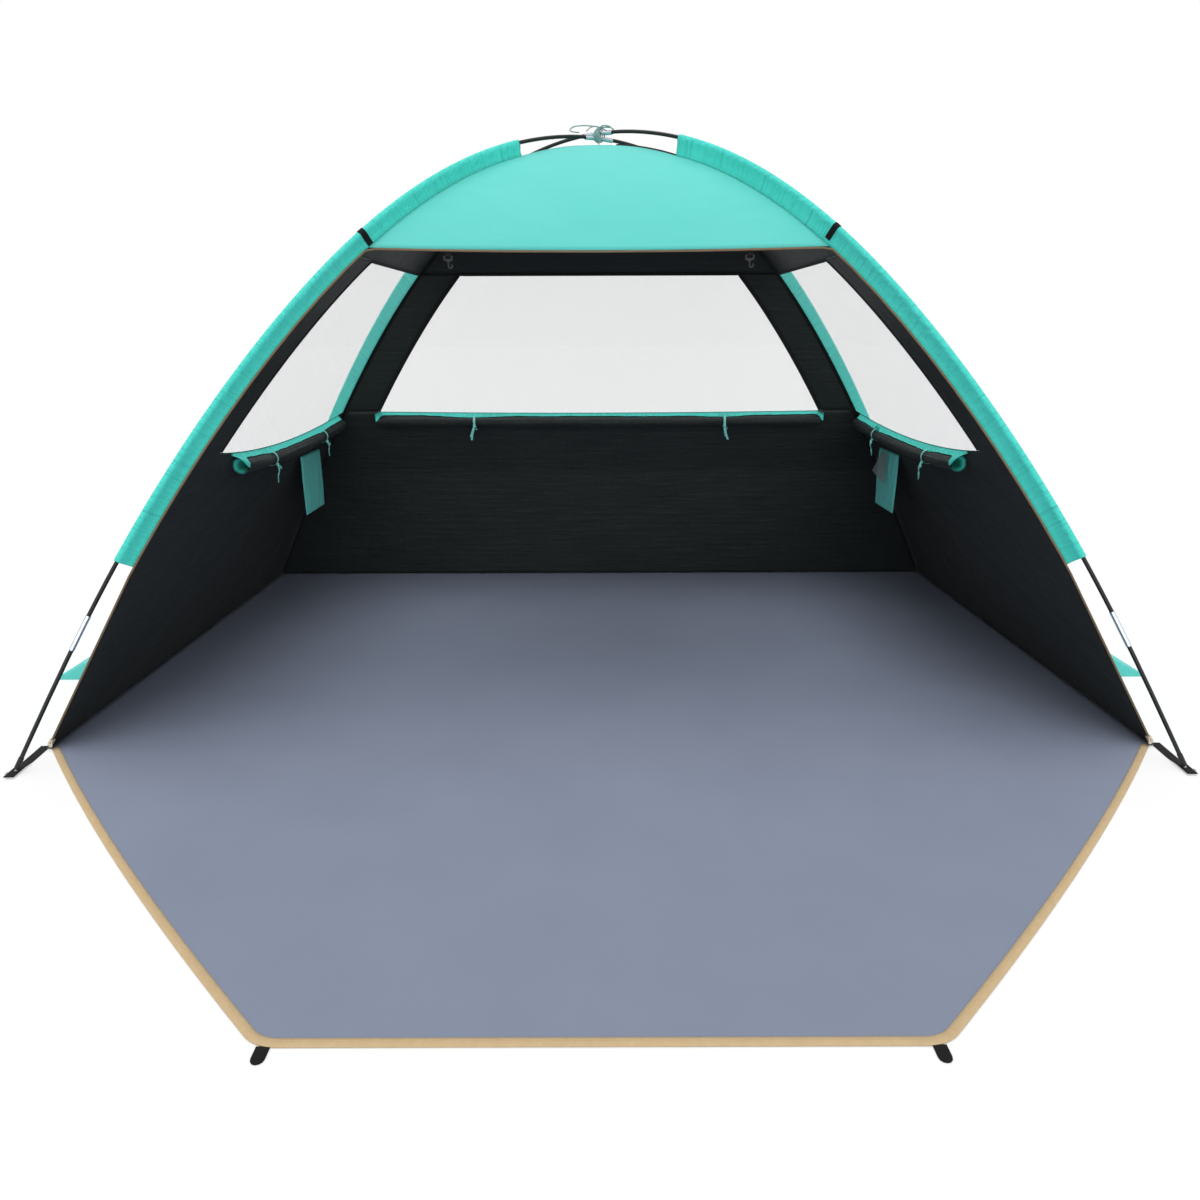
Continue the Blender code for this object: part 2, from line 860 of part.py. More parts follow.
def make_back_roof():
    columns = 6
    places = crown_places(window_top + gap)

    def place(column, row):
        reach, height = seam_at(places[row])
        half = reach * across - roof_seat(places[row]) / along
        return Vector((half * (2 * column / columns - 1), reach * along, height))

    sheet("roof_back", columns, len(places) - 1, place, "mint")


def patch_height(depth):
    """The height of the patch's middle surface on the tent's middle plane."""
    reach = abs(depth) / along
    return float(np.interp(-reach, [-r for r in seam_reach], seam_height)) + cloth + gap


def make_crown_patch():
    """A reinforcing patch over the crown, where the four panels end. It has their slopes."""
    height = patch_height(patch_reach * along)
    bm = bmesh.new()
    peak = bm.verts.new((0, 0, patch_height(0)))
    corners = [(-1, -1), (1, -1), (1, 1), (-1, 1)]
    ring = [bm.verts.new((x * patch_reach * across, y * patch_reach * along, height)) for x, y in corners]
    for k in range(4):
        bm.faces.new([peak, ring[k], ring[(k + 1) % 4]])
    add_part("crown_patch", thick_mesh(bm, cloth), "mint", smooth_angle=0)


def smooth_route(route, parts_each=2):
    """Points on a smooth curve through a route's own points."""
    ends = [route[0], *route, route[-1]]
    points = []
    for k in range(len(route) - 1):
        a, b, c, d = (Vector(p) for p in ends[k : k + 4])
        for step in range(parts_each):
            t = step / parts_each
            points.append(
                0.5 * (2 * b + (c - a) * t + (2 * a - 5 * b + 4 * c - d) * t**2 + (3 * b - a - 3 * c + d) * t**3)
            )
    return [*points, Vector(route[-1])]


def make_crown_tie():
    """The cord on the crown's patch that goes round the crossing and ends in a bow."""
    root_height = patch_height(tie_root_depth) + cloth / 2 + 3 * gap
    crossing = Vector((0, 0, crown_height))
    route = [Vector((crown_tie_points[0][0], tie_root_depth, root_height))]
    route += [crossing + Vector(point) for point in crown_tie_points]
    add_part("crown_tie", tube_mesh(smooth_route(route), tie_cord_radius, resolution=1), "cord")


# Walls and windows

wall_rows = 6
band_rows = 5
side_columns = 7
back_columns = 8


def side_room(column):
    """The share of the way across a side window, from its front band to the back seam."""
    return (column - 1) / (side_columns - 1)


def side_row_height(column, row, top):
    sill = side_sill(side_room(column) if column else 0)
    if row <= wall_rows:
        return foot_height + (sill - foot_height) * row / wall_rows
    return sill + (top - sill) * (row - wall_rows) / band_rows


def side_place(side, column, height, room=0.0):
    if column == 0:
        return side_point(side, height, 0)
    return side_point(side, height, side_room(column), front_room=side_band + room)


def make_side_panel(side, side_name):
    """The wall up to the sill, and the band beside the window up to the roof."""
    top = window_top - gap

    def place(column, row):
        return side_place(side, column, side_row_height(column, row, top))

    def keep(column, row):
        return row < wall_rows or column == 0

    sheet(f"side_panel_{side_name}", side_columns, wall_rows + band_rows, place, "black_cloth", keep)


def make_side_window(side, side_name):
    def place(column, row):
        height = side_row_height(column + 1, row + wall_rows, window_top - gap)
        height += 2 * gap if row == 0 else 0
        return side_place(side, column + 1, height, room=2 * gap)

    sheet(f"window_{side_name}", side_columns - 1, band_rows, place, "mesh")


def back_share(column):
    return 2 * (column - 1) / (back_columns - 2) - 1


def back_row_height(column, row, top):
    share = min(max(back_share(column), -1), 1)
    sill = back_sill(share)
    if row <= wall_rows:
        return foot_height + (sill - foot_height) * row / wall_rows
    return sill + (top - sill) * (row - wall_rows) / band_rows


def back_place(column, height, room=0.0):
    if column in (0, back_columns):
        return gable_point(1, height, -1 if column == 0 else 1)
    return gable_point(1, height, back_share(column), room=back_band + room)


def make_back_panel():
    def place(column, row):
        return back_place(column, back_row_height(column, row, window_top - gap))

    def keep(column, row):
        return row < wall_rows or column in (0, back_columns - 1)

    sheet("back_panel", back_columns, wall_rows + band_rows, place, "black_cloth", keep)


def make_back_window():
    def place(column, row):
        height = back_row_height(column + 1, row + wall_rows, window_top - gap)
        height += 2 * gap if row == 0 else 0
        return back_place(column + 1, height, room=2 * gap)

    sheet("window_back", back_columns - 2, band_rows, place, "mesh")


# Rolled window covers


def inward_normal(wall_at, where, height):
    """The direction into the tent, square to a wall whose point for a place and a height is wall_at()."""
    level = wall_at(where + normal_share, height) - wall_at(where, height)
    rise = wall_at(where, height + overrun) - wall_at(where, height)
    normal = level.cross(rise).normalized()
    outward = wall_at(where, height)
    outward.z = 0
    return -normal if normal.dot(outward) > 0 else normal


def roll_radius_at(share, tie_shares):
    """The roll is drawn in where a cord ties it, and swells between."""
    pinch = 0
    for tie in tie_shares:
        pinch += tie_pinch_share * math.exp(-(((share - tie) / tie_spread_share) ** 2))
    return roll_radius * (1 - pinch)


def make_roll(name, wall_at, sill_at, start, end, tie_shares, mouths):
    """A window cover rolled up along its sill, between two places across the window. wall_at gives the
    wall's point for a place and a height. mouths are the ends where the roll is open, 0 or -1."""
    points, radii = [], []
    for k in range(roll_steps + 1):
        share = k / roll_steps
        where = start + (end - start) * share
        height = sill_at(where) - roll_drop
        inward = inward_normal(wall_at, where, height)
        points.append(wall_at(where, height) + inward * (roll_radius + cloth / 2 + roll_seat))
        radii.append(roll_radius_at(share, tie_shares))
    roll = add_part(name, tube_mesh(points, radii, resolution=4), "black_cloth")
    for number, mouth in enumerate(mouths):
        line = points if mouth == 0 else points[::-1]
        ahead = (line[1] - line[0]).normalized()
        bore = tube_mesh([line[0] - ahead * overrun, line[0] + ahead * roll_mouth], roll_radius - roll_wall)
        boolean(roll, add_cutter(f"{name}_mouth_{number}", bore))


def make_side_roll(side, side_name):
    def wall_at(where, height):
        return side_point(side, height, where, front_room=side_band)

    window_width = 2 * edge_at(1, sill_height)[1] - side_band
    near = roll_start / window_width
    far = 1 - roll_corner_room / window_width
    make_roll(f"rolled_cover_{side_name}", wall_at, side_sill, near, far, side_tie_shares, (0,))


def make_back_roll():
    def wall_at(where, height):
        return gable_point(1, height, where, room=back_band)

    ends = (-roll_end_share, roll_end_share)
    make_roll("rolled_cover_back", wall_at, back_sill, *ends, back_tie_shares, (0, -1))


# Pockets


def make_inner_pocket(side, side_name):
    """A flat bag, open at the top, that hangs straight down from the side panel."""
    wall = cloth
    faces = []
    for depth in (pocket_place, pocket_place + pocket_width):
        front, back = edge_at(-1, pocket_top)[1], edge_at(1, pocket_top)[1]
        faces.append(abs(side_point(side, pocket_top, (depth - front) / (back - front)).x))
    outer = min(faces) - cloth / 2 - pocket_seat
    low = Vector((outer - pocket_hollow - 2 * wall, pocket_place, pocket_top - pocket_height))
    high = Vector((outer, pocket_place + pocket_width, pocket_top))
    pocket = add_part(f"inner_pocket_{side_name}", side_box(side, low, high), "sleeve_mint", smooth_angle=0)
    walls = Vector((wall, wall, wall))
    hollow = side_box(side, low + walls, high - walls + Z_AXIS * (wall + overrun))
    boolean(pocket, add_cutter(f"pocket_hollow_{side_name}", hollow))


def side_box(side, low, high):
    """A box between two corners given for the right side, put on its own side."""
    if side > 0:
        return box_mesh(low, high)
    return box_mesh((-high[0], low[1], low[2]), (-low[0], high[1], high[2]))


def side_wall_half(depth, height):
    """The half width of the tent at the outer face of a side panel."""
    front, back = edge_at(-1, height), edge_at(1, height)
    return front[0] + (back[0] - front[0]) * (depth - front[1]) / (back[1] - front[1]) + cloth / 2


def sand_section(side, depth, inset):
    """The outline of a sand pocket at a depth, drawn in by an inset. An inset outline runs out at the top."""
    foot = side_wall_half(depth, 0) + sand_seat
    top = side_wall_half(depth, sand_height) + sand_seat
    lean = (top - foot) / sand_height
    toe = foot + sand_reach
    slope = (toe - top - sand_mouth) / (sand_height - sand_rim)
    high = sand_height + (overrun if inset else 0)
    outline = [(foot + inset + lean * inset, inset)]
    if inset:
        run = inset * math.hypot(1, slope)
        outline += [(toe - run + (sand_rim - inset) * slope, inset)]
        outline += [(toe - run - (high - sand_rim) * slope, high)]
    else:
        outline += [(toe, 0), (toe, sand_rim), (top + sand_mouth, high)]
    outline += [(foot + inset + lean * high, high)]
    return [Vector((side * half, depth, height)) for half, height in outline]


def make_sand_pocket(side, side_name):
    """A wedge-shaped bag outside the wall, open at the top beside the wall, to hold sand."""
    ends = (sand_place, sand_place + sand_length)
    bag = prism_mesh([sand_section(side, depth, 0) for depth in ends])
    inner_ends = (ends[0] + cloth, ends[1] - cloth)
    hollow = prism_mesh([sand_section(side, depth, cloth) for depth in inner_ends])
    pocket = add_part(f"sand_pocket_{side_name}", bag, "mint", smooth_angle=0)
    boolean(pocket, add_cutter(f"sand_hollow_{side_name}", hollow))


# Floor and porch


def make_floor():
    out = cloth / 2
    front, back = -floor_front_depth, floor_back_depth + out
    outline = [(-floor_front_half - out, front), (floor_front_half + out, front)]
    outline += [(floor_back_half + out, back), (-floor_back_half - out, back)]
    lift = Matrix.Translation((0, 0, floor_thickness / 2))
    add_part("floor", plate_mesh([outline], floor_thickness, lift), "floor_grey", smooth_angle=0)


def porch_side(inset):
    """The porch's right side and round front corner, from the fold outwards, drawn in by an inset."""
    back = (floor_front_half - porch_inset, -floor_front_depth - gap)
    front = (porch_front_half, -porch_reach)
    run = math.hypot(back[0] - front[0], front[1] - back[1])
    points = []
    for k in range(9):
        share = k / 8
        bow = 4 * share * (1 - share) * porch_bow * (front[1] - back[1]) / -run
        x = back[0] + (front[0] - back[0]) * share
        y = back[1] + (front[1] - back[1]) * share
        points.append(Vector((x + bow, y)))
    corner = points.pop()
    before = (points[-1] - corner).normalized()
    level = Vector((-1, 0))
    turn = before.angle(level)
    cut = porch_corner_radius / math.tan(turn / 2)
    middle = corner + (before + level).normalized() * (porch_corner_radius / math.sin(turn / 2))
    points = [p for p in points if (p - corner).length > cut]
    begin = math.atan2(*(corner + before * cut - middle).yx)
    finish = math.atan2(*(corner + level * cut - middle).yx)
    round_corner = arc(middle, porch_corner_radius, begin, finish, 5)
    points += [Vector(p) for p in round_corner]
    if not inset:
        return points
    moved = []
    for k, point in enumerate(points):
        nearest = points[max(k - 1, 0)]
        beyond = points[k + 1] if k + 1 < len(points) else point + level
        ahead = (beyond - nearest).normalized()
        moved.append(point + Vector((ahead.y, -ahead.x)) * inset)
    return moved


def porch_outline(inset=0.0, back_run=0.0):
    """The whole outline of the porch, run past its fold by back_run."""
    right = porch_side(inset)
    if back_run:
        right = [right[0] + Vector((0, back_run)), *right]
    return [tuple(p) for p in right] + [(-p.x, p.y) for p in reversed(right)]


def make_porch():
    """The porch sheet, the folded tape that binds its free edge, and two loops of webbing on its corners."""
    tape_depth = porch_cloth + 2 * gap + 2 * binding_wall
    lift = Matrix.Translation((0, 0, tape_depth / 2))
    fold = bpy.data.objects.new("porch_fold", None)
    fold.location = (0, -floor_front_depth, tape_depth / 2 + porch_cloth / 2)
    parts.objects.link(fold)
    porch = add_part("porch", plate_mesh([porch_outline()], porch_cloth, lift), "floor_grey", smooth_angle=0)
    hold(porch, fold)

    tape = plate_mesh([porch_outline(-binding_edge)], tape_depth, lift)
    binding = add_part("porch_binding", tape, "tan_tape", smooth_angle=0)
    hold(binding, fold)
    run = binding_edge + overrun
    middle = plate_mesh([porch_outline(binding_width, run)], tape_depth + overrun, lift)
    boolean(binding, add_cutter("porch_middle", middle))
    slot = plate_mesh([porch_outline(-gap, run)], porch_cloth + 2 * gap, lift)
    boolean(binding, add_cutter("porch_slot", slot))

    half = porch_tab_width / 2
    edge = -porch_reach - binding_edge - gap
    tip = (0, edge - porch_tab_length + half)
    outline = [(-half, edge), (half, edge), *arc(tip, half, 0, -math.pi, 6)]
    for side_name, side in SIDES.items():
        shift = Matrix.Translation((side * porch_tab_place, 0, porch_tab_thickness / 2))
        tab = plate_mesh([outline], porch_tab_thickness, shift)
        hold(add_part(f"porch_tab_{side_name}", tab, "webbing", smooth_angle=0), fold)


# The doorway's tape: one tape runs up the left edge, along the canopy's hem and down the right edge.

door_straight_top = low_height - 2 * overrun
hem_place = place_of_height(hem_height)
hem_half = seam_at(hem_place)[0] * across - roof_seat(hem_place) / along


def hem_point(x):
    """The middle of the tape under the canopy's hem, at a distance across."""
    shares = [2 * k / canopy_columns - 1 for k in range(canopy_columns + 1)]
    sag = float(np.interp(x / hem_half, shares, [hem_sag * (1 - share * share) for share in shares]))
    drop = door_tape_radius + cloth / 2 + gap
    return Vector((x, -seam_at(hem_place)[0] * along, hem_height - sag - drop))


def door_edge_point(side, height):
    """The middle of the tape in front of a side panel's straight lower edge."""
    edge = side_point(side, height, 0)
    return edge - Vector((0, door_tape_radius + gap, 0))


def door_side(side):
    """The middle line of the tape from the floor up to the hem."""
    points = [door_edge_point(side, height) for height in (door_tape_rise, door_straight_top)]
    for place in places_between(sleeve_start - overrun, hem_place - hem_corner):
        aside = -side * (flange_half + gap + door_tape_radius)
        points.append(leg_point(side, -1, place, -seam_depth, aside))
    return points


def make_door_tape():
    """The tape, with the two small webbing loops under the hem that the hooks hang from."""
    steps = 10
    reach = hem_half - hem_corner
    hem = [hem_point(reach * (2 * k / steps - 1)) for k in range(steps + 1)]
    line = door_side(-1) + hem + door_side(1)[::-1]
    tape = add_part("doorway_tape", tube_mesh(line, door_tape_radius), "tan_tape")
    eye = tab_hole + tab_wall
    opening = math.asin(tab_wall / eye)
    outline = [(-tab_wall, 0), (-tab_wall, -tab_neck)]
    outline += arc((0, -tab_neck - eye), eye, math.pi / 2 + opening, 2.5 * math.pi - opening, 14)
    outline += [(tab_wall, -tab_neck), (tab_wall, 0)]
    hole = arc((0, -tab_neck - eye), tab_hole, 0, 2 * math.pi, 12)[:-1]
    for side_name, side in SIDES.items():
        top = hem_point(side * hem_half * tab_place_share)
        tab = add_cutter(f"tab_{side_name}", plate_mesh([outline, hole], tab_width, standing(Vector((1, 0, 0)), top)))
        boolean(tape, tab, "UNION")
        make_hook(side_name, top - Z_AXIS * (tab_neck + eye))


def standing(axis, place):
    """The matrix that stands a flat outline up at a place, with its thickness along a level axis."""
    matrix = Matrix((Z_AXIS.cross(axis), Z_AXIS, axis)).transposed().to_4x4()
    matrix.translation = place
    return matrix


def make_hook(side_name, pivot):
    """A flat plastic hook. The top bar of its frame lies in the tab's eye, and it swings about that."""
    bar = hook_bar / 2
    low = bar + hook_slot_height
    half = hook_width / 2
    slot_half = hook_slot_width / 2
    shank = hook_frame / 2
    shoulder = -low - hook_frame - shank
    bend_height = -low - hook_drop + hook_mouth
    bend = (shank + hook_mouth / 2, bend_height)
    outline = [(half, bar), (half, -low - hook_frame), (shank + hook_frame, shoulder)]
    outline += [(shank, shoulder - hook_frame), (shank, bend_height)]
    outline += arc(bend, hook_mouth / 2, math.pi, 2 * math.pi, 6)[1:]
    outline += [(shank + hook_mouth, bend_height + hook_mouth)]
    outline += [(shank + hook_mouth + hook_frame, bend_height + hook_mouth / 2)]
    outline += arc(bend, hook_mouth / 2 + hook_frame, 0, -math.pi, 8)
    outline += [(-shank, shoulder - hook_frame), (-shank - hook_frame, shoulder)]
    outline += [(-half, -low - hook_frame), (-half, bar)]
    hole = [(slot_half, -bar), (-slot_half, -bar), (-slot_half, -low), (slot_half, -low)]
    mesh = plate_mesh([outline, hole], hook_thickness, standing(Vector((0, -1, 0)), Vector()))
    add_part(f"canopy_hook_{side_name}", mesh, "hook_black", smooth_angle=0).location = pivot


# Zip sliders on the straight lower part of the doorway's tape


def slider_frame(side):
    """The matrix of a slider: X to the right, square to the side panel, Y into the panel, Z up the tape."""
    low = door_edge_point(side, door_tape_rise)
    upward = (door_edge_point(side, door_straight_top) - low).normalized()
    panel = side_point(side, low_height / 2, 1) - side_point(side, low_height / 2, 0)
    normal = panel.cross(upward).normalized()
    frame = Matrix((normal, upward.cross(normal), upward)).transposed().to_4x4()
    frame.translation = low + upward * slider_place
    return frame


def make_slider(side, side_name):
    """A zip slider that grips the tape and lets the panel through, with a bail on its front for the pull."""
    frame = slider_frame(side)
    bore = door_tape_radius + slider_room
    half = bore + slider_wall
    slot = cloth / 2 + slider_room
    turn = math.asin(slot / bore)
    outline = [(slot, slider_bite), (half, slider_bite), (half, -half), (-half, -half)]
    outline += [(-half, slider_bite), (-slot, slider_bite)]
    outline += arc((0, 0), bore, math.pi / 2 + turn, 2.5 * math.pi - turn, 12)
    body = plate_mesh([outline], slider_length, Matrix.Translation((0, 0, slider_length / 2)))
    slider = add_part(f"zip_slider_{side_name}", body, "cream", smooth_angle=0)
    slider.matrix_world = frame
    pivot = frame @ Vector((0, -half - bail_hole - bail_wire / 2, slider_length * bail_rise_share))
    level = frame.col[0].to_3d()
    level.z = 0
    level.normalize()
    eye = bail_hole + bail_wire
    rings = [arc((0, 0), eye, 0, 2 * math.pi, 16)[:-1], arc((0, 0), bail_hole, 0, 2 * math.pi, 12)[:-1]]
    boolean(slider, add_cutter(f"bail_{side_name}", plate_mesh(rings, bail_width, standing(level, pivot))), "UNION")
    make_pull(side_name, pivot, level, level.cross(frame.col[1].to_3d()).normalized(), slider)


def make_pull(side_name, pivot, level, upward, slider):
    """The pull hangs from the slider's bail, along the slider's face, and swings about its own top bar."""
    bar = pull_bar / 2
    half = pull_width / 2
    slot_half = half - pull_frame
    low = bar + pull_slot_height
    tip = (0, half - pull_length)
    outline = [(-half, bar), (half, bar), *arc(tip, half, 0, -math.pi, 6)]
    hole = [(slot_half, -bar), (-slot_half, -bar), (-slot_half, -low), (slot_half, -low)]
    hanging = Matrix((-level, upward, upward.cross(level))).transposed().to_4x4()
    mesh = plate_mesh([outline, hole], pull_thickness, hanging)
    pull = add_part(f"zip_pull_{side_name}", mesh, "cream", smooth_angle=0)
    pull.location = pivot
    hold(pull, slider)


# The whole tent

make_pole("left_pole", -1)
make_pole("right_pole", 1)
make_canopy()
make_back_roof()
make_crown_patch()
make_crown_tie()
make_back_panel()
make_back_window()
make_back_roll()
make_floor()
make_porch()
make_door_tape()
for side_name, side in SIDES.items():
    for end_name, end in ENDS.items():
        make_sleeve(side, end, f"{end_name}_{side_name}")
        make_foot_pin(side, end, f"{end_name}_{side_name}")
        make_foot_strap(side, end, f"{end_name}_{side_name}")
    make_hem_strap(side, side_name)
    make_side_roof(side, side_name)
    make_side_panel(side, side_name)
    make_side_window(side, side_name)
    make_side_roll(side, side_name)
    make_inner_pocket(side, side_name)
    make_sand_pocket(side, side_name)
    make_slider(side, side_name)
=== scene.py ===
"""A beach tent on two crossed poles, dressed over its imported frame. Metres; X across, Y to the back, Z up."""
import math

import bmesh
import bpy
import numpy as np
from mathutils import Matrix, Vector, noise
from mathutils.bvhtree import BVHTree


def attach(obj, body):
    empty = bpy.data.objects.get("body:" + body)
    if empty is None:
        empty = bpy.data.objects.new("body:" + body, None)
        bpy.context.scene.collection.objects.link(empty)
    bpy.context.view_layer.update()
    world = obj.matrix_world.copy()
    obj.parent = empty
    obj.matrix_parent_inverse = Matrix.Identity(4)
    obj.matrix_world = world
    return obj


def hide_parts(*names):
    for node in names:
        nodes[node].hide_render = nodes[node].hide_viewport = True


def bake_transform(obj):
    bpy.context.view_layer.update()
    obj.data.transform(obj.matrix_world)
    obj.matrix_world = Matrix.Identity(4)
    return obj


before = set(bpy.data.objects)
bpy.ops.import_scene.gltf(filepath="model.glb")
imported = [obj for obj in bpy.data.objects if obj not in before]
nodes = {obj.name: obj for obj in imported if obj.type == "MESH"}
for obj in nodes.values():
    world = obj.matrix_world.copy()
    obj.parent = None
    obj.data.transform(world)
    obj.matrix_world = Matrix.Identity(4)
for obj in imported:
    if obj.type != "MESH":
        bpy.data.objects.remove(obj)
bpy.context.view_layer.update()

# THE POLES
# Two chains of hollow fibreglass rods, pulled through a die, black all through and a little glossy. Plated
# steel ferrules cover their joints, and an elastic cord runs inside. They cross at the crown.

SIDES = {"left": -1, "right": 1}
ENDS = {"front": -1, "back": 1}
Z_AXIS = Vector((0, 0, 1))


def linear(colour):
    """A linear colour from an sRGB hex value."""
    channels = []
    for shift in (16, 8, 0):
        share = (colour >> shift & 255) / 255
        channels.append(share / 12.92 if share <= 0.04045 else ((share + 0.055) / 1.055) ** 2.4)
    return (*channels, 1)


def add(tree, kind, inputs=None, **settings):
    """Adds a node with its settings. An input that is given a socket is linked to it."""
    node = tree.nodes.new(kind)
    for name, value in settings.items():
        setattr(node, name, value)
    for name, value in (inputs or {}).items():
        if isinstance(value, bpy.types.NodeSocket):
            tree.links.new(value, node.inputs[name])
        else:
            node.inputs[name].default_value = value
    return node


def new_material(name, **sockets):
    """A material with a Principled shader, whose own sockets are set by their names, with _ for a space."""
    material = bpy.data.materials.new(name)
    material.use_nodes = True
    tree = material.node_tree
    tree.nodes.clear()
    shader = add(tree, "ShaderNodeBsdfPrincipled")
    for socket, value in sockets.items():
        shader.inputs[socket.replace("_", " ")].default_value = value
    add(tree, "ShaderNodeOutputMaterial", {"Surface": shader.outputs[0]})
    return material, tree, shader


def two_tone(tree, share, dark, light):
    """Colours the tree's shader between two hex colours, by a share that is a socket."""
    mix = add(tree, "ShaderNodeMix", {"Factor": share}, data_type="RGBA")
    mix.inputs["A"].default_value = linear(dark)
    mix.inputs["B"].default_value = linear(light)
    tree.links.new(mix.outputs["Result"], tree.nodes["Principled BSDF"].inputs["Base Color"])


def raised(tree, height, strength, distance):
    """Raises the tree's shader by a height, on top of the bumps that it has."""
    normal = tree.nodes["Principled BSDF"].inputs["Normal"]
    bump = add(tree, "ShaderNodeBump", {"Height": height, "Strength": strength, "Distance": distance})
    if normal.is_linked:
        tree.links.new(normal.links[0].from_socket, bump.inputs["Normal"])
    tree.links.new(bump.outputs[0], normal)


def clouds_at(tree, place, scale, detail, **settings):
    """Soft noise over a place, scale spots to the metre."""
    inputs = {"Vector": place, "Scale": scale, "Detail": detail, **settings}
    return add(tree, "ShaderNodeTexNoise", inputs).outputs["Fac"]


def waves_at(tree, place, pitch, way="X", distortion=0.0):
    """Threads or ribs, pitch metres apart. The wave texture repeats each 0.314 of its scale."""
    inputs = {"Vector": place, "Scale": 0.314 / pitch, "Distortion": distortion}
    return add(tree, "ShaderNodeTexWave", inputs, bands_direction=way).outputs["Fac"]


def maths(tree, operation, *values):
    return add(tree, "ShaderNodeMath", dict(enumerate(values)), operation=operation).outputs[0]


def rescaled(tree, value, **limits):
    """A value brought to other limits, which are named From_Min, From_Max, To_Min and To_Max."""
    limits = {name.replace("_", " "): limit for name, limit in limits.items()}
    return add(tree, "ShaderNodeMapRange", {"Value": value, **limits}).outputs[0]


def grained(name, dark, light, scale, detail, **sockets):
    """A material between two colours, by a noise of scale grains to the metre, and that noise."""
    material, tree, shader = new_material(name, **sockets)
    grain = clouds_at(tree, add(tree, "ShaderNodeTexCoord").outputs["Object"], scale, detail)
    two_tone(tree, grain, dark, light)
    return material, tree, shader, grain


def dress(name, material):
    """Gives a CAD node its material."""
    slots = nodes[name].data.materials
    slots.clear()
    slots.append(material)


def fibreglass():
    """Pultruded rod: black resin with fine paler streaks of glass, under a thin clear skin."""
    gloss = {"Roughness": 0.42, "Coat_Weight": 0.10, "Specular_IOR_Level": 0.3}
    material, tree, _, streaks = grained("pultruded_fibreglass", 0x070708, 0x161718, 900, 2, **gloss)
    raised(tree, streaks, 0.15, 0.0002)
    return material


def plated_steel():
    """Drawn tube with bright zinc plating: satin, with hairline scratches and slight clouding."""
    material, tree, shader, _ = grained("zinc_plated_steel", 0xAEB5BF, 0xDDE2E8, 160, 3, Metallic=1.0)
    hairs = clouds_at(tree, add(tree, "ShaderNodeTexCoord").outputs["Object"], 2200, 1)
    tree.links.new(rescaled(tree, hairs, To_Min=0.22, To_Max=0.42), shader.inputs["Roughness"])
    return material


def braided_elastic():
    """A rubber core in a pale braid, 0.6 mm from pick to pick."""
    material, tree, _ = new_material("braided_elastic", Roughness=0.8)
    braid = waves_at(tree, add(tree, "ShaderNodeTexCoord").outputs["Object"], 0.0006, distortion=2.0)
    two_tone(tree, braid, 0xCFCCC2, 0xF0EEE6)
    return material


rod_black = fibreglass()
ferrule_steel = plated_steel()
cord_elastic = braided_elastic()
for name in nodes:
    if name.endswith(("pole_front_end", "pole_back_end")):
        dress(name, rod_black)
    if name.endswith("ferrule") or name.startswith("foot_pin"):
        dress(name, ferrule_steel)
    if name.endswith("shock_cord"):
        dress(name, cord_elastic)

# THE FEET
# Black polypropylene webbing runs from the floor's corners to the feet, 20 mm wide and flat woven. A steel
# ring and pin at its end goes up into the pole's tip.


def new_piece(name, mesh, *materials, body="tent"):
    """Puts a mesh into the scene as a piece that rides on a body."""
    for material in materials:
        mesh.materials.append(material)
    piece = bpy.data.objects.new(name, mesh)
    bpy.context.scene.collection.objects.link(piece)
    if body:
        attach(piece, body)
    return piece


def clamp(share):
    return min(max(share, 0), 1)


def thicken(piece, thickness, offset=0, inner=0):
    """Gives cloth its thickness. With inner=1 its second material is on the side that its faces turn from."""
    wall = piece.modifiers.new("cloth", "SOLIDIFY")
    wall.thickness, wall.offset, wall.material_offset = thickness, offset, inner
    return piece


def as_one(name, meshes, weld=0):
    """One mesh of several, welded where they meet within a distance."""
    bm = bmesh.new()
    for mesh in meshes:
        bm.from_mesh(mesh)
    if weld:
        bmesh.ops.remove_doubles(bm, verts=bm.verts, dist=weld)
    whole = bpy.data.meshes.new(name)
    bm.to_mesh(whole)
    bm.free()
    whole.shade_smooth()
    return whole


def sewn_copy(node, name, along, longest, dent, *materials, body="tent"):
    """A copy of a CAD node's shape with fine faces and small dents, and a UV map whose V runs along."""
    bm = bmesh.new()
    bm.from_mesh(nodes[node].data)
    bmesh.ops.remove_doubles(bm, verts=bm.verts, dist=0.00002)
    bmesh.ops.dissolve_limit(bm, angle_limit=0.01, verts=bm.verts, edges=bm.edges)
    bmesh.ops.triangulate(bm, faces=bm.faces)
    for _ in range(7):
        long_edges = [edge for edge in bm.edges if edge.calc_length() > longest]
        if not long_edges:
            break
        bmesh.ops.subdivide_edges(bm, edges=long_edges, cuts=1)
        bmesh.ops.triangulate(bm, faces=[face for face in bm.faces if len(face.verts) > 3])
    bmesh.ops.recalc_face_normals(bm, faces=bm.faces)
    bm.normal_update()
    for vertex in bm.verts:
        soft = 0.7 * noise.noise(vertex.co * 22) + 0.3 * noise.noise(vertex.co * 90)
        if vertex.co.z > 0.003:
            vertex.co += vertex.normal * (dent * soft)
    layer = bm.loops.layers.uv.new("cloth")
    along = Vector(along).normalized()
    for face in bm.faces:
        run = along - face.normal * along.dot(face.normal)
        run = run.normalized() if run.length > 0.3 else face.normal.orthogonal().normalized()
        aside = run.cross(face.normal)
        for loop in face.loops:
            loop[layer].uv = (loop.vert.co.dot(aside), loop.vert.co.dot(run))
    mesh = bpy.data.meshes.new(name)
    bm.to_mesh(mesh)
    bm.free()
    mesh.shade_smooth()
    mesh.set_sharp_from_angle(angle=math.radians(35))
    piece = new_piece(name, mesh, *materials, body=body)
    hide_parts(node)
    return piece


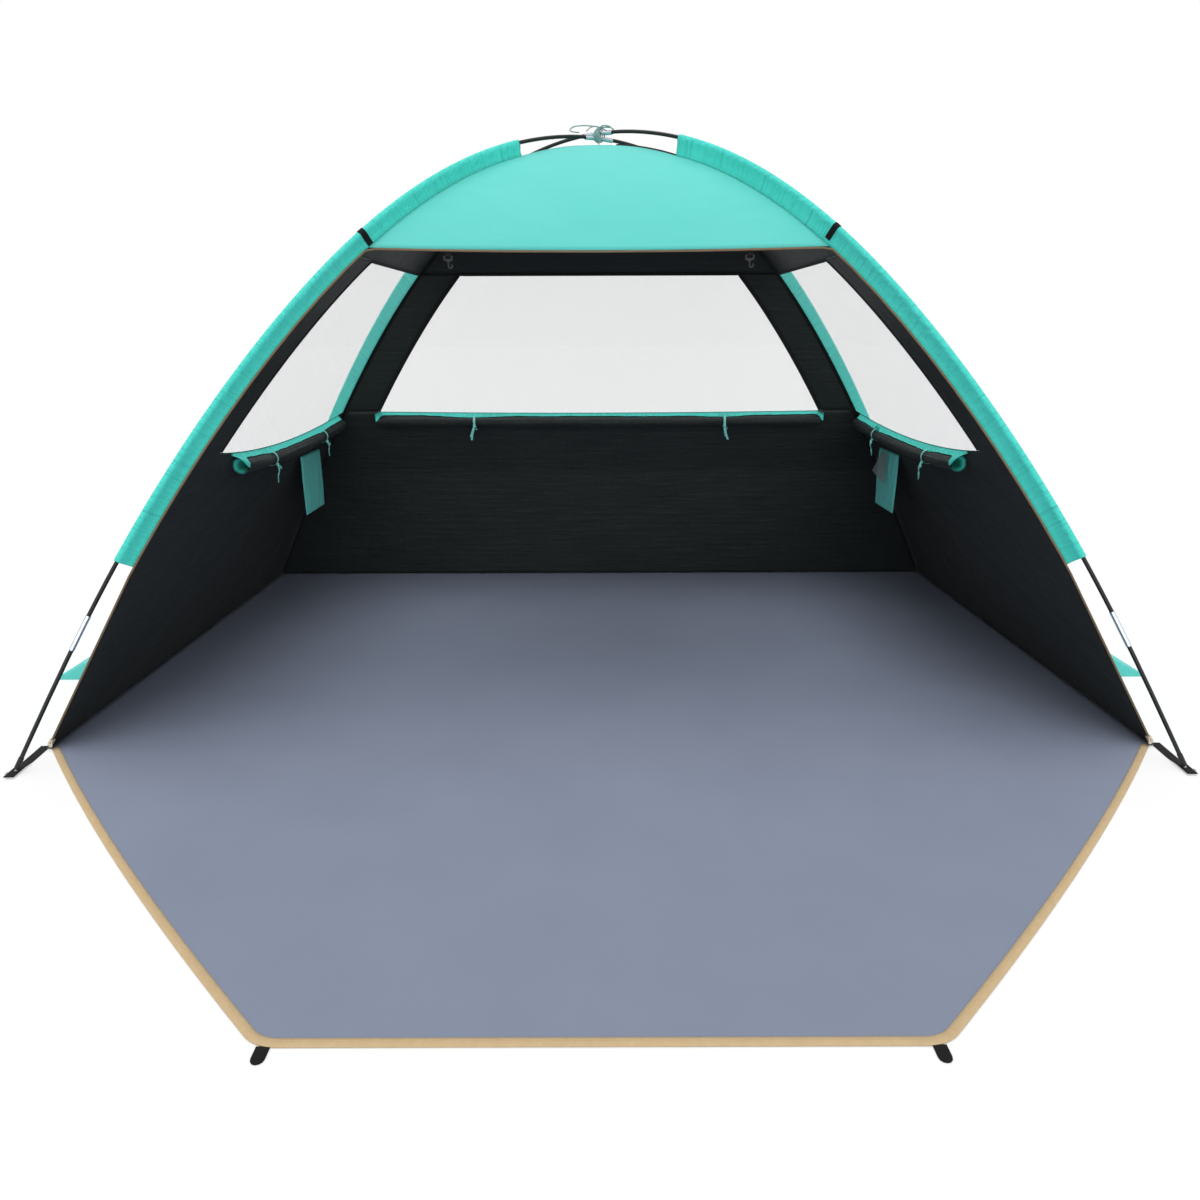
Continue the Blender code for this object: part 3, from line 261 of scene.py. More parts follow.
def tape_material(name, dark, light, rib=0.0016, sheen=0.10):
    """Woven narrow tape: ribs lie square across it every 1.6 mm, a matt yarn with slightly uneven dye."""
    material, tree, _ = new_material(name, Sheen_Weight=sheen, Roughness=0.8, Specular_IOR_Level=0.2)
    place = add(tree, "ShaderNodeUVMap", uv_map="cloth").outputs[0]
    ribs = waves_at(tree, place, rib, "Y", distortion=0.4)
    yarn = waves_at(tree, place, 0.0011, distortion=0.6)
    two_tone(tree, maths(tree, "MULTIPLY_ADD", ribs, 0.35, clouds_at(tree, place, 60, 4)), dark, light)
    raised(tree, maths(tree, "MULTIPLY_ADD", yarn, 0.4, ribs), 0.45, 0.0003)
    return material


black_webbing = tape_material("woven_webbing_black", 0x050505, 0x121212, sheen=0.02)
for side_name, side in SIDES.items():
    for end_name, end in ENDS.items():
        where = f"{end_name}_{side_name}"
        towards = (side * 0.2, -0.8, 0) if end < 0 else (side * 0.6, 0.8, 0)
        strap = sewn_copy(f"foot_strap_{where}", f"foot_webbing_{where}", towards, 0.006, 0.0002, black_webbing)

# THE SLEEVES
# Teardrop tubes of the tent's mint polyester, sewn into its four seams, through which the poles are pushed.
# The cloth is drawn up along the thread, so it puckers, most of all near the crown.

foot_half_width, foot_half_depth, pole_length = 1.200, 0.780, 4.055
second_bend_share, third_bend_share = 0.28, 0.18
fine_steps = 480
half_span = math.hypot(foot_half_width, foot_half_depth)
across, along = foot_half_width / half_span, foot_half_depth / half_span
gap = 0.0003
ferrule_radius = 0.0052
seam_depth, crown_depth = 0.033, 0.022
sleeve_start, sleeve_end = 0.482, 1.800
bulb_radius, neck_depth, flange_half = 0.0080, 0.025, 0.0012
thin_cloth = 0.0005
foot_pucker, crown_pucker, pucker_start = 0.0020, 0.0040, 0.75


def bent_line(lean):
    """Reach, height and slope at even steps along a bent pole, for a slope at its foot."""
    shares = np.linspace(-0.5, 0.5, fine_steps + 1) * math.pi
    bends = np.cos(shares) + second_bend_share * np.cos(3 * shares) + third_bend_share * np.cos(5 * shares)
    turned = np.concatenate([[0], np.cumsum((bends[1:] + bends[:-1]) / 2)])
    slope = lean - 2 * lean * turned / turned[-1]
    middle = (slope[1:] + slope[:-1]) / 2
    step = pole_length / fine_steps
    reach = np.concatenate([[0], np.cumsum(np.cos(middle))]) * step
    height = np.concatenate([[0], np.cumsum(np.sin(middle))]) * step
    return reach[-1] / 2 - reach, height, slope


low_lean, high_lean = 0.0, math.pi / 2
for _ in range(50):
    lean_at_foot = (low_lean + high_lean) / 2
    if bent_line(lean_at_foot)[0][0] > half_span:
        low_lean = lean_at_foot
    else:
        high_lean = lean_at_foot
leg_reach, leg_height, leg_slope = (line[: fine_steps // 2 + 1] for line in bent_line(lean_at_foot))
leg_length = pole_length / 2
stations = np.linspace(0, leg_length, len(leg_reach))
crown_height = float(leg_height[-1])
near_crown = np.clip((stations - sleeve_end) / (leg_length - sleeve_end), 0, 1)
seam_drop = seam_depth + (crown_depth - seam_depth) * near_crown
seam_reach = leg_reach - seam_drop * np.sin(leg_slope)
seam_height = leg_height - seam_drop * np.cos(leg_slope)


def between(at, places, values):
    """The value at a place, between values at other places."""
    return float(np.interp(at, places, values))


def leg_point(side, end, place, out=0.0, aside=0.0):
    """A point of a leg's line, moved out of the tent and aside. The right front leg's pole passes over."""
    lift = side * -end * (ferrule_radius + gap / 2) / crown_height
    outward = Vector((side * across, end * along, 0))
    reach = between(place, stations, leg_reach)
    slope = between(place, stations, leg_slope)
    point = outward * (reach + out * math.sin(slope)) + Vector((-outward.y, outward.x, 0)) * aside
    point.z = between(place, stations, leg_height) * (1 + lift) + out * math.cos(slope)
    return point


def woven(
    name, dark, light, roughness=0.72, sheen=0.10, pick=0.0012, slub=0.22, crumple=0.35, creased=0.0, folds=0.0
):
    """Plain woven polyester, dull with a faint sheen. Its real threads lie 0.25 mm apart, and are drawn 1.2 mm
    apart so that they show. A few thicker threads run across. It follows the cloth's own UV map."""
    gloss = {"Sheen_Weight": sheen, "Sheen_Roughness": 0.45, "Specular_IOR_Level": 0.30}
    material, tree, shader = new_material(name, **gloss)
    place = add(tree, "ShaderNodeUVMap", uv_map="cloth").outputs[0]
    threads = maths(tree, "MAXIMUM", waves_at(tree, place, pick, "X"), waves_at(tree, place, pick, "Y"))
    long = add(tree, "ShaderNodeMapping", {"Vector": place, "Scale": (6, 420, 1)}).outputs[0]
    slubs = rescaled(tree, clouds_at(tree, long, 1, 1), From_Min=0.60, From_Max=0.75)
    clouds = clouds_at(tree, place, 5, 4)
    slant = add(tree, "ShaderNodeMapping", {"Vector": place, "Rotation": (0, 0, 0.30), "Scale": (5, 75, 1)})
    line = clouds_at(tree, slant.outputs[0], 1, 2)
    # Slanting crease lines. With a crease weight they are coloured lighter, a painted highlight where the creases
    # catch the light
    painted_crease_light = rescaled(tree, line, From_Min=0.60, From_Max=0.78)
    dyed = maths(tree, "MULTIPLY_ADD", slubs, slub, clouds)
    two_tone(tree, maths(tree, "MULTIPLY_ADD", painted_crease_light, creased, dyed), dark, light)
    rough = rescaled(tree, clouds, To_Min=roughness - 0.06, To_Max=roughness + 0.08)
    tree.links.new(rough, shader.inputs["Roughness"])
    creases = clouds_at(tree, place, 9, 5, Roughness=0.55)
    raised(tree, maths(tree, "MULTIPLY_ADD", line, folds, creases), crumple, 0.006)
    raised(tree, threads, 0.2, 0.0002)
    return material


def grid_mesh(name, points, closed=False):
    """A surface through rows of points, with a UV map in metres along its rows and columns."""
    points = np.asarray(points, float)
    rows, columns = points.shape[:2]
    steps = np.linalg.norm(np.diff(points, axis=1), axis=2)
    u = np.concatenate([np.zeros((rows, 1)), np.cumsum(steps, axis=1)], axis=1)
    u -= u[:, columns // 2 : columns // 2 + 1]
    rises = np.linalg.norm(np.diff(points[:, columns // 2], axis=0), axis=1)
    v = np.concatenate([[0], np.cumsum(rises)])
    mesh = bpy.data.meshes.new(name)
    faces = []
    for r in range(rows - 1):
        for c in range(columns if closed else columns - 1):
            after = (c + 1) % columns
            faces.append((r * columns + c, r * columns + after, (r + 1) * columns + after, (r + 1) * columns + c))
    mesh.from_pydata(points.reshape(-1, 3).tolist(), [], faces)
    layer = mesh.uv_layers.new(name="cloth")
    index = np.empty(len(mesh.loops), np.int32)
    mesh.loops.foreach_get("vertex_index", index)
    flat = np.stack([u.reshape(-1)[index], np.repeat(v, columns)[index]], axis=1)
    layer.data.foreach_set("uv", flat.astype(np.float32).ravel())
    mesh.shade_smooth()
    return mesh


def face_out(mesh, centre=(0, 0, 0.35)):
    """Turns a surface so that its faces point away from a centre."""
    if sum(face.normal.dot(face.center - Vector(centre)) * face.area for face in mesh.polygons) < 0:
        mesh.flip_normals()
    return mesh


def rippled(points, amount):
    """The rows of points, each moved square to the surface by amount(point, column share, row share)."""
    points = np.asarray(points, float)
    normal = np.cross(np.gradient(points, axis=1), np.gradient(points, axis=0))
    normal /= np.maximum(np.linalg.norm(normal, axis=2, keepdims=True), 1e-12)
    rows, columns = points.shape[:2]
    moved = points.copy()
    for r in range(rows):
        for c in range(columns):
            moved[r, c] += normal[r, c] * amount(Vector(points[r, c]), c / (columns - 1), r / (rows - 1))
    return moved


def stitch_tree():
    """Geometry nodes that sew a row of stitches along a line of edges."""
    tree = bpy.data.node_groups.new("stitches", "GeometryNodeTree")
    tree.interface.new_socket("Geometry", in_out="OUTPUT", socket_type="NodeSocketGeometry")
    tree.interface.new_socket("Geometry", in_out="INPUT", socket_type="NodeSocketGeometry")
    for name in ("Pitch", "Stitch Length", "Thread Radius"):
        tree.interface.new_socket(name, in_out="INPUT", socket_type="NodeSocketFloat")
    tree.interface.new_socket("Thread", in_out="INPUT", socket_type="NodeSocketMaterial")
    sizes = add(tree, "NodeGroupInput").outputs
    line = add(tree, "GeometryNodeMeshToCurve", {"Mesh": sizes["Geometry"]})
    pitch = {"Curve": line.outputs[0], "Length": sizes["Pitch"]}
    even = add(tree, "GeometryNodeResampleCurve", pitch, mode="LENGTH")
    tangent = add(tree, "GeometryNodeInputTangent").outputs[0]
    ahead = add(tree, "FunctionNodeAlignRotationToVector", {"Vector": tangent}, axis="Z")
    bead = add(tree, "GeometryNodeMeshUVSphere", {"Segments": 6, "Rings": 4, "Radius": 1.0})
    half = maths(tree, "MULTIPLY", sizes["Stitch Length"], 0.5)
    thick = sizes["Thread Radius"]
    size = add(tree, "ShaderNodeCombineXYZ", {"X": thick, "Y": thick, "Z": half})
    beads = {"Points": even, "Instance": bead, "Rotation": ahead, "Scale": size}
    beads = {name: node.outputs[0] for name, node in beads.items()}
    row = add(tree, "GeometryNodeInstanceOnPoints", beads)
    real = add(tree, "GeometryNodeRealizeInstances", {"Geometry": row.outputs[0]})
    smooth = add(tree, "GeometryNodeSetShadeSmooth", {"Geometry": real.outputs[0]})
    done = add(tree, "GeometryNodeSetMaterial", {"Geometry": smooth.outputs[0], "Material": sizes["Thread"]})
    add(tree, "NodeGroupOutput", {"Geometry": done.outputs[0]})
    return tree


stitch_nodes = stitch_tree()


def skin_of(mesh):
    """A mesh's surface, in which the nearest place to a point can be found."""
    return BVHTree.FromPolygons([v.co for v in mesh.vertices], [face.vertices for face in mesh.polygons])


def sew(name, lines, thread, cloth, lift=0.0003, body="tent"):
    """Rows of stitches along lines, which are first laid on the surface of a cloth's mesh."""
    skin = skin_of(cloth)
    points, edges = [], []
    for line in lines:
        for k, point in enumerate(line):
            near, normal, _, _ = skin.find_nearest(point)
            if k:
                edges.append((len(points) - 1, len(points)))
            points.append(near + normal * lift)
    mesh = bpy.data.meshes.new(f"{name}_line")
    mesh.from_pydata(points, edges, [])
    line = bpy.data.objects.new(f"{name}_line", mesh)
    bpy.context.scene.collection.objects.link(line)
    sewing = line.modifiers.new("stitches", "NODES")
    sewing.node_group = stitch_nodes
    values = {"Pitch": 0.0042, "Stitch Length": 0.0034, "Thread Radius": 0.00035, "Thread": thread}
    for socket in stitch_nodes.interface.items_tree:
        if socket.in_out == "INPUT" and socket.name in values:
            sewing[socket.identifier] = values[socket.name]
    graph = bpy.context.evaluated_depsgraph_get()
    done = bpy.data.meshes.new_from_object(line.evaluated_get(graph))
    bpy.data.objects.remove(line)
    done.name = name
    return new_piece(name, done, body=body)


def thread_material(name, dark, light):
    """Spun polyester thread: soft, matt, its tone varying at random."""
    return grained(name, dark, light, 1500, 1, Roughness=0.75, Sheen_Weight=0.1)[0]


mint_cloth = woven("woven_polyester_mint", 0x62D8CF, 0x70E0D8, folds=0.15)
sleeve_cloth = woven("woven_polyester_sleeve", 0x46E0D0, 0x5AF2E5, crumple=0.7, folds=2.6)
# The black coat's crease lines are coloured lighter: a painted highlight
coat_finish_and_crease_light = {"roughness": 0.60, "sheen": 0.04, "crumple": 0.7, "creased": 1.3, "folds": 0.5}
black_coat = woven("coated_polyester_black", 0x181E1E, 0x232A2A, **coat_finish_and_crease_light)
mint_thread = thread_material("spun_thread_mint", 0x2FA99E, 0x58CFC4)
black_thread = thread_material("spun_thread_black", 0x0A0C0C, 0x202425)


def sleeve_outline():
    """The sleeve's section, from one side of the seam round the pole and back to the other."""
    drop = (bulb_radius - 0.001) * math.cos((math.pi + 2 * math.radians(25)) / 12) - ferrule_radius - gap
    turns = np.linspace(-math.radians(25), math.pi / 2, 9)
    bulb = [(bulb_radius * math.cos(turn), bulb_radius * math.sin(turn) - drop) for turn in turns]
    wide, tall = bulb[0][0] - flange_half, bulb[0][1] + neck_depth
    neck = [(flange_half + wide * share**1.6, -neck_depth + tall * share) for share in (0, 0.2, 0.4, 0.6, 0.8)]
    low = -seam_depth - 0.001
    right = [(flange_half, low), (flange_half, (low - neck_depth) / 2), *neck, *bulb]
    return right + [(-x, y) for x, y in reversed(right[:-1])]


def sleeve_point(side, end, place, out, aside):
    """A point of a sleeve, which hangs from its pole by its bulb and comes down to the panels' seam."""
    point = leg_point(side, end, place, out, aside)
    lift = side * -end * (ferrule_radius + gap / 2) / crown_height
    point.z -= between(place, stations, leg_height) * lift * clamp((-out - 0.010) / 0.021)
    return point


def make_sleeve(side, end, where):
    """The sleeve's skin, creased slantwise from its foot, with two rows of stitches along it."""
    outline = sleeve_outline()
    strap = nodes["hem_strap_left"].data.vertices
    strap_height = sum(vertex.co.z for vertex in strap) / len(strap)
    rows = []
    for place in np.linspace(sleeve_start, sleeve_end, 330):
        drawn = foot_pucker + crown_pucker * max(0, (place - pucker_start) / (sleeve_end - pucker_start))
        calm = 1 if end > 0 else clamp(abs(leg_point(side, end, float(place)).z - strap_height) / 0.016 - 0.8)
        row = []
        for x, y in outline:
            depth = math.sin(math.pi * min(clamp(-y / neck_depth) * 0.8 + 0.2, 1))
            wave = noise.noise(Vector((place * 58 + side * y * 80, side * 3 + end * 7 + (x > 0), y * 10)))
            crease = (max(0, 1 - 5 * abs(wave)) - 0.35) * calm
            pucker = drawn * crease * depth * (-neck_depth < y < 0.012)
            x += math.copysign(max(pucker, -0.0006), x) if abs(x) > 0.001 else 0
            row.append(sleeve_point(side, end, float(place), y, x))
        rows.append(row)
    middle = leg_point(side, end, (sleeve_start + sleeve_end) / 2, -0.01)
    mesh = face_out(grid_mesh(f"sleeve_{where}", rows), middle)
    piece = new_piece(f"sleeve_cloth_{where}", mesh, sleeve_cloth, black_coat)
    lines = []
    places = [float(place) for place in np.linspace(sleeve_start + 0.004, sleeve_end - 0.004, 160)]
    for aside in (-flange_half * 1.3, flange_half * 1.3):
        for out in (-0.0268, -0.0300):
            lines.append([sleeve_point(side, end, place, out, aside) for place in places])
    stitches = sew(f"sleeve_stitches_{where}", lines, mint_thread, mesh)
    thicken(piece, thin_cloth, -1)
    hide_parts(f"sleeve_{where}")


for side_name, side in SIDES.items():
    for end_name, end in ENDS.items():
        make_sleeve(side, end, f"{end_name}_{side_name}")

# THE ROOF
# Four panels of the same polyester, mint outside and coated black inside, cut to the curve of the poles and
# sewn to the sleeves. The front one is the canopy, with a free hem in which two rows of thread show.

hem_height, hem_sag, window_top, crown_opening = 1.035, 0.007, 1.016, 0.022
cloth_wall = 0.0007
seam_seat = flange_half + 0.0002


def place_of_height(height):
    return between(height, seam_height, stations)


def seam_at(place):
    return between(place, stations, seam_reach), between(place, stations, seam_height)


def fade(share, width=0.12):
    """0 at both ends of a share from 0 to 1, and 1 between them."""
    near = clamp(min(share, 1 - share) / width)
    return near * near * (3 - 2 * near)


def make_roof(name, node, low_height, towards, columns=84, rows=56, sag=0.0, hem=False):
    """A roof panel from its lower edge up to the crown's opening. towards is the level way that it faces."""
    level = Vector((-towards.y, towards.x, 0))
    wide, deep = (across, along) if abs(towards.y) > 0 else (along, across)
    start = place_of_height(low_height)
    top = between(-crown_opening, -seam_reach, stations)

    def surface(share, row):
        reach, height = seam_at(start + (top - start) * row)
        drop = sag * (1 - share * share) * max(1 - row * 7, 0)
        half = reach * wide - seam_seat / deep
        return towards * (reach * deep) + level * (half * share) + Z_AXIS * (height - drop)

    def amount(point, column, row):
        seed = 3 + towards.x * 5 + towards.y * 9
        folds = 0.0018 * noise.fractal(Vector((point.x, point.y, point.z * 2 + seed)) * 5, 0.9, 2.1, 3)
        pull = 0.0007 * math.sin(70 * (row + 0.6 * column * (1 - column))) * (1 - fade(column, 0.3))
        billow = 0.0035 * math.sin(math.pi * column) * math.sin(math.pi * row)
        return (folds + pull + billow) * fade(column, 0.05) * fade(row, 0.05 if row < 0.5 else 0.2)

    points = [[surface(2 * c / columns - 1, r / rows) for c in range(columns + 1)] for r in range(rows + 1)]
    mesh = face_out(grid_mesh(name, rippled(points, amount)))
    piece = thicken(new_piece(name, mesh, mint_cloth, black_coat), cloth_wall, inner=1)
    lines = [[surface(k / 60 - 1, row) for k in range(2, 119)] for row in ((0.006, 0.014) if hem else (0.012,))]
    lines += [[surface(edge, k / 80) for k in range(1, 76)] for edge in (-0.992, 0.992)]
    stitches = sew(f"{name}_stitches", lines, mint_thread, mesh, lift=cloth_wall / 2)
    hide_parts(node)


make_roof("canopy_cloth", "front_canopy", hem_height, Vector((0, -1, 0)), sag=hem_sag, hem=True)
make_roof("roof_cloth_back", "roof_back", window_top, Vector((0, 1, 0)))
make_roof("roof_cloth_left", "roof_left", window_top, Vector((-1, 0, 0)))
make_roof("roof_cloth_right", "roof_right", window_top, Vector((1, 0, 0)))

# THE CROWN
# A patch of the same cloth covers the panels' tips. A soft braided cord is sewn to it, goes several times
# round the two poles where they cross, and ends in a bow.

crown_patch = sewn_copy("crown_patch", "crown_patch_cloth", (0, 1, 0), 0.006, 0.0004, mint_cloth)

crown_tie_radius = 0.0014
tie_root_depth = -0.015
crown_tie_points = [
    (0.0010, -0.0110, -0.0100), (0.0010, -0.0090, 0.0040), (0.0010, -0.0070, 0.0105), (0.0010, 0.0000, 0.0128),
    (0.0010, 0.0070, 0.0105), (0.0005, 0.0090, 0.0040), (-0.0005, 0.0092, -0.0070), (-0.0015, 0.0060, -0.0125),
    (-0.0025, 0.0000, -0.0140), (-0.0035, -0.0085, -0.0125), (-0.0045, -0.0120, -0.0060),
    (-0.0050, -0.0124, 0.0050), (-0.0045, -0.0085, 0.0125), (0.0000, -0.0050, 0.0168),
    (0.0130, -0.0020, 0.0185), (0.0290, 0.0020, 0.0185),
    (0.0370, 0.0090, 0.0140), (0.0310, 0.0150, 0.0115), (0.0180, 0.0150, 0.0150), (0.0040, 0.0080, 0.0200),
    (-0.0150, 0.0030, 0.0220), (-0.0370, -0.0050, 0.0215), (-0.0580, -0.0160, 0.0175), (-0.0690, -0.0270, 0.0090),
    (-0.0640, -0.0330, 0.0030), (-0.0470, -0.0290, 0.0020),
]
crown_bow_points = [
    (0.004, -0.004, 0.0170), (0.010, -0.012, 0.0200), (0.021, -0.016, 0.0190), (0.028, -0.010, 0.0180),
    (0.020, -0.004, 0.0190), (0.006, 0.000, 0.0180), (-0.008, -0.008, 0.0190), (-0.020, -0.017, 0.0150),
    (-0.030, -0.020, 0.0060),
]


def smooth_route(route, parts_each):
    """Points on a smooth curve through a route's own points."""
    ends = [route[0], *route, route[-1]]
    points = []
    for k in range(len(route) - 1):
        a, b, c, d = ends[k : k + 4]
        for step in range(parts_each):
            t = step / parts_each
            bend = (2 * a - 5 * b + 4 * c - d) * t**2 + (3 * b - a - 3 * c + d) * t**3
            points.append(0.5 * (2 * b + (c - a) * t + bend))
    return [*points, route[-1]]


def close_rims(mesh, chosen=lambda edge: True):
    """Fills a mesh's open rims, or those of its edges that are chosen, and turns its faces outwards."""
    bm = bmesh.new()
    bm.from_mesh(mesh)
    bmesh.ops.holes_fill(bm, edges=[edge for edge in bm.edges if edge.is_boundary and chosen(edge)])
    bmesh.ops.recalc_face_normals(bm, faces=bm.faces)
    bm.to_mesh(mesh)
    bm.free()


def tube_mesh(name, points, radius, sides=10):
    """A round closed tube along points, whose V runs along it."""
    points = [Vector(point) for point in points]
    rows = []
    up = Vector((0.3, 0.2, 0.93)).normalized()
    for k, point in enumerate(points):
        ahead = (points[min(k + 1, len(points) - 1)] - points[max(k - 1, 0)]).normalized()
        up = (up - ahead * up.dot(ahead)).normalized()
        aside = ahead.cross(up)
        turns = [2 * math.pi * n / sides for n in range(sides)]
        rows.append([point + (up * math.cos(turn) + aside * math.sin(turn)) * radius for turn in turns])
    mesh = grid_mesh(name, rows, closed=True)
    close_rims(mesh)
    mesh.shade_smooth()
    return mesh


def make_crown_tie():
    """The cord in one run, and its further turns and second bow as a knot over it."""
    root_height = between(-abs(tie_root_depth) / along, -seam_reach, seam_height) + 0.0015 + 4 * gap
    crossing = Vector((0, 0, crown_height))
    route = [Vector((crown_tie_points[0][0], tie_root_depth, root_height))]
    route += [crossing + Vector(point) for point in crown_tie_points]
    points = smooth_route(route, 5)
    braid = tape_material("braided_cord_grey_teal", 0x6F9692, 0x9CBFBB, rib=0.0012)
    piece = new_piece("crown_tie_cord", tube_mesh("crown_tie_cord", points, crown_tie_radius), braid)
    turns = []
    for number, (lean, reach) in enumerate(((0.5, 0.0150), (-0.7, 0.0142), (0.1, 0.0158), (1.1, 0.0150))):
        level = Vector((math.sin(lean), math.cos(lean), 0))
        along_pole = Vector((level.y, -level.x, 0))
        ring = []
        for k in range(49):
            turn = 2 * math.pi * k / 48 + number
            drift = 0.0030 * math.sin(turn / 2 + number) + 0.002 * number - 0.003
            round_it = level * (reach * math.cos(turn)) + along_pole * drift
            ring.append(crossing + round_it + Z_AXIS * (reach * math.sin(turn)))
        turns.append(tube_mesh("turn", ring, crown_tie_radius, sides=8))
    bow = smooth_route([crossing + Vector(point) for point in crown_bow_points], 7)
    turns.append(tube_mesh("bow", bow, crown_tie_radius, sides=8))
    knot = new_piece("crown_tie_knot", as_one("crown_tie_knot", turns), braid)
    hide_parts("crown_tie")


make_crown_tie()

rod_radius, first_joint = 0.00425, 0.317


def make_pole_run(pole, side):
    """The middle rods of a pole in one smooth bend, from the joint in front to the joint at the back."""
    places = np.linspace(first_joint + gap / 2, leg_length, 260)
    front = [leg_point(side, -1, float(place)) for place in places]
    back = [leg_point(-side, 1, float(place)) for place in places[-2::-1]]
    run = new_piece(f"{pole}_rods", tube_mesh(f"{pole}_rods", front + back, rod_radius, sides=14), rod_black)
    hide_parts(f"{pole}_pole_run")


make_pole_run("left", -1)
make_pole_run("right", 1)

# THE WALLS
# One panel on each side and one at the back, of the polyester coated black inside, each with a band up beside
# its window. They hang a little slack between the seams, with long slanting creases.

sill_height, side_sill_sag, back_sill_sag = 0.603, 0.032, 0.006
side_band, back_band = 0.118, 0.112
floor_front_half, floor_front_depth = 1.195, 0.675
floor_back_half, floor_back_depth = 1.175, 0.718
floor_thickness = 0.0016
foot_height = floor_thickness + 0.0002
low_reach, low_height = seam_at(sleeve_start)


def edge_at(end, height):
    """The tent's corner line at a height, as half width and signed depth."""
    if height >= low_height:
        reach = between(height, seam_height, seam_reach)
        return reach * across, end * reach * along
    half, depth = (floor_front_half, floor_front_depth) if end < 0 else (floor_back_half, floor_back_depth)
    share = height / low_height
    return half + (low_reach * across - half) * share, end * (depth + (low_reach * along - depth) * share)


def seat_at(height):
    """The room that a panel leaves at its seam, which grows where the sleeve's foot begins."""
    return 0.0008 + (seam_seat - 0.0008) * clamp((height - low_height + 0.02) / 0.02)


def side_point(side, height, share, front_room=0.0):
    """A point of a side panel, at a share of the way from its front edge to its back edge."""
    front_half, front_depth = edge_at(-1, height)
    back_half, back_depth = edge_at(1, height)
    seat = seat_at(height) / across
    start = front_depth + seat + front_room
    depth = start + (back_depth - seat - start) * share
    whole = (depth - front_depth) / (back_depth - front_depth)
    return Vector((side * (front_half + (back_half - front_half) * whole), depth, height))


def back_point(height, share, room=0.0):
    """A point of the back panel, from -1 at its left edge to 1 at its right."""
    half, depth = edge_at(1, height)
    return Vector(((half - seat_at(height) / along - room) * share, depth, height))


def side_sill(share):
    return sill_height - side_sill_sag * 4 * share * (1 - share)


def back_sill(share):
    return sill_height - back_sill_sag * (1 - share * share)


def wall_fold(point, seed):
    """Slanting tension creases, and a soft slack between them."""
    run = point.x + point.y
    lines = noise.noise(Vector((run * 2.5 + point.z, seed, (point.z - 0.35 * run) * 17)))
    slack = noise.noise(Vector((point.x * 3.5, point.y * 3.5 + seed, point.z * 4)))
    return 0.0013 * lines + 0.0024 * slack


def panel_rows(place, columns, rows, amount):
    """Rippled rows of a panel whose point for a column share and a row share is place()."""
    points = [[place(c / columns, r / rows) for c in range(columns + 1)] for r in range(rows + 1)]
    return rippled(points, amount)


def hang_wall(name, node, meshes, lines):
    """A wall of several grids, with its stitches, in place of its CAD node."""
    mesh = face_out(as_one(name, meshes, weld=0.00005))
    piece = thicken(new_piece(name, mesh, mint_cloth, black_coat), cloth_wall, inner=1)
    stitches = sew(f"{name}_stitches", lines, black_thread, mesh, lift=-cloth_wall / 2)
    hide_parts(node)


def low_fold(seed):
    return lambda point, column, row: wall_fold(point, seed) * fade(column, 0.05) * fade(row, 0.12)


def band_fold(seed):
    return lambda point, column, row: 0.5 * wall_fold(point, seed) * fade(column, 0.4) * fade(row, 0.1)


def make_side_wall(side, side_name):
    """The wall up to the sill, and the band beside the window."""
    split = 0.09

    def low(column, row):
        if column < split:
            height = foot_height + (sill_height - foot_height) * row
            inner = side_point(side, height, 0, front_room=side_band)
            return side_point(side, height, 0).lerp(inner, column / split)
        share = (column - split) / (1 - split)
        height = foot_height + (side_sill(share) - foot_height) * row
        return side_point(side, height, share, front_room=side_band)

    def band(column, row):
        height = sill_height + (window_top - gap - sill_height) * row
        return side_point(side, height, 0).lerp(side_point(side, height, 0, front_room=side_band), column)

    meshes = [grid_mesh("low", panel_rows(low, 100, 50, low_fold(11 + side)))]
    meshes.append(grid_mesh("band", panel_rows(band, 9, 40, band_fold(23 + side))))
    lines = [[low(k / 120, row) for k in range(121)] for row in (0.012, 0.022)]
    lines.append([low(column / 120, 0.975) for column in range(12, 121)])
    lines.append([band(0.93, k / 50) for k in range(51)])
    hang_wall(f"side_wall_{side_name}", f"side_panel_{side_name}", meshes, lines)


def make_back_wall():
    split = 0.055

    def low(column, row):
        if split <= column <= 1 - split:
            share = 2 * (column - split) / (1 - 2 * split) - 1
            height = foot_height + (back_sill(share) - foot_height) * row
            return back_point(height, share, room=back_band)
        sign, near = (-1, column / split) if column < split else (1, (1 - column) / split)
        height = foot_height + (sill_height - foot_height) * row
        return back_point(height, sign).lerp(back_point(height, sign, room=back_band), near)

    meshes = [grid_mesh("low", panel_rows(low, 164, 50, low_fold(31)))]
    lines = [[low(k / 160, row) for k in range(161)] for row in (0.012, 0.022, 0.975)]
    for sign in (-1, 1):
        def band(column, row, sign=sign):
            height = sill_height + (window_top - gap - sill_height) * row
            near = column if sign < 0 else 1 - column
            return back_point(height, sign).lerp(back_point(height, sign, room=back_band), near)

        meshes.append(grid_mesh("band", panel_rows(band, 9, 40, band_fold(37 + sign))))
        lines.append([band(0.93 if sign < 0 else 0.07, k / 50) for k in range(51)])
    hang_wall("back_wall", "back_panel", meshes, lines)


for side_name, side in SIDES.items():
    make_side_wall(side, side_name)
make_back_wall()

# THE WINDOWS
# Fine knitted mosquito mesh, pale grey, stretched in the openings. One sees through it, and it greys what is
# behind it. A black woven tape, sewn over the joint, edges each window.


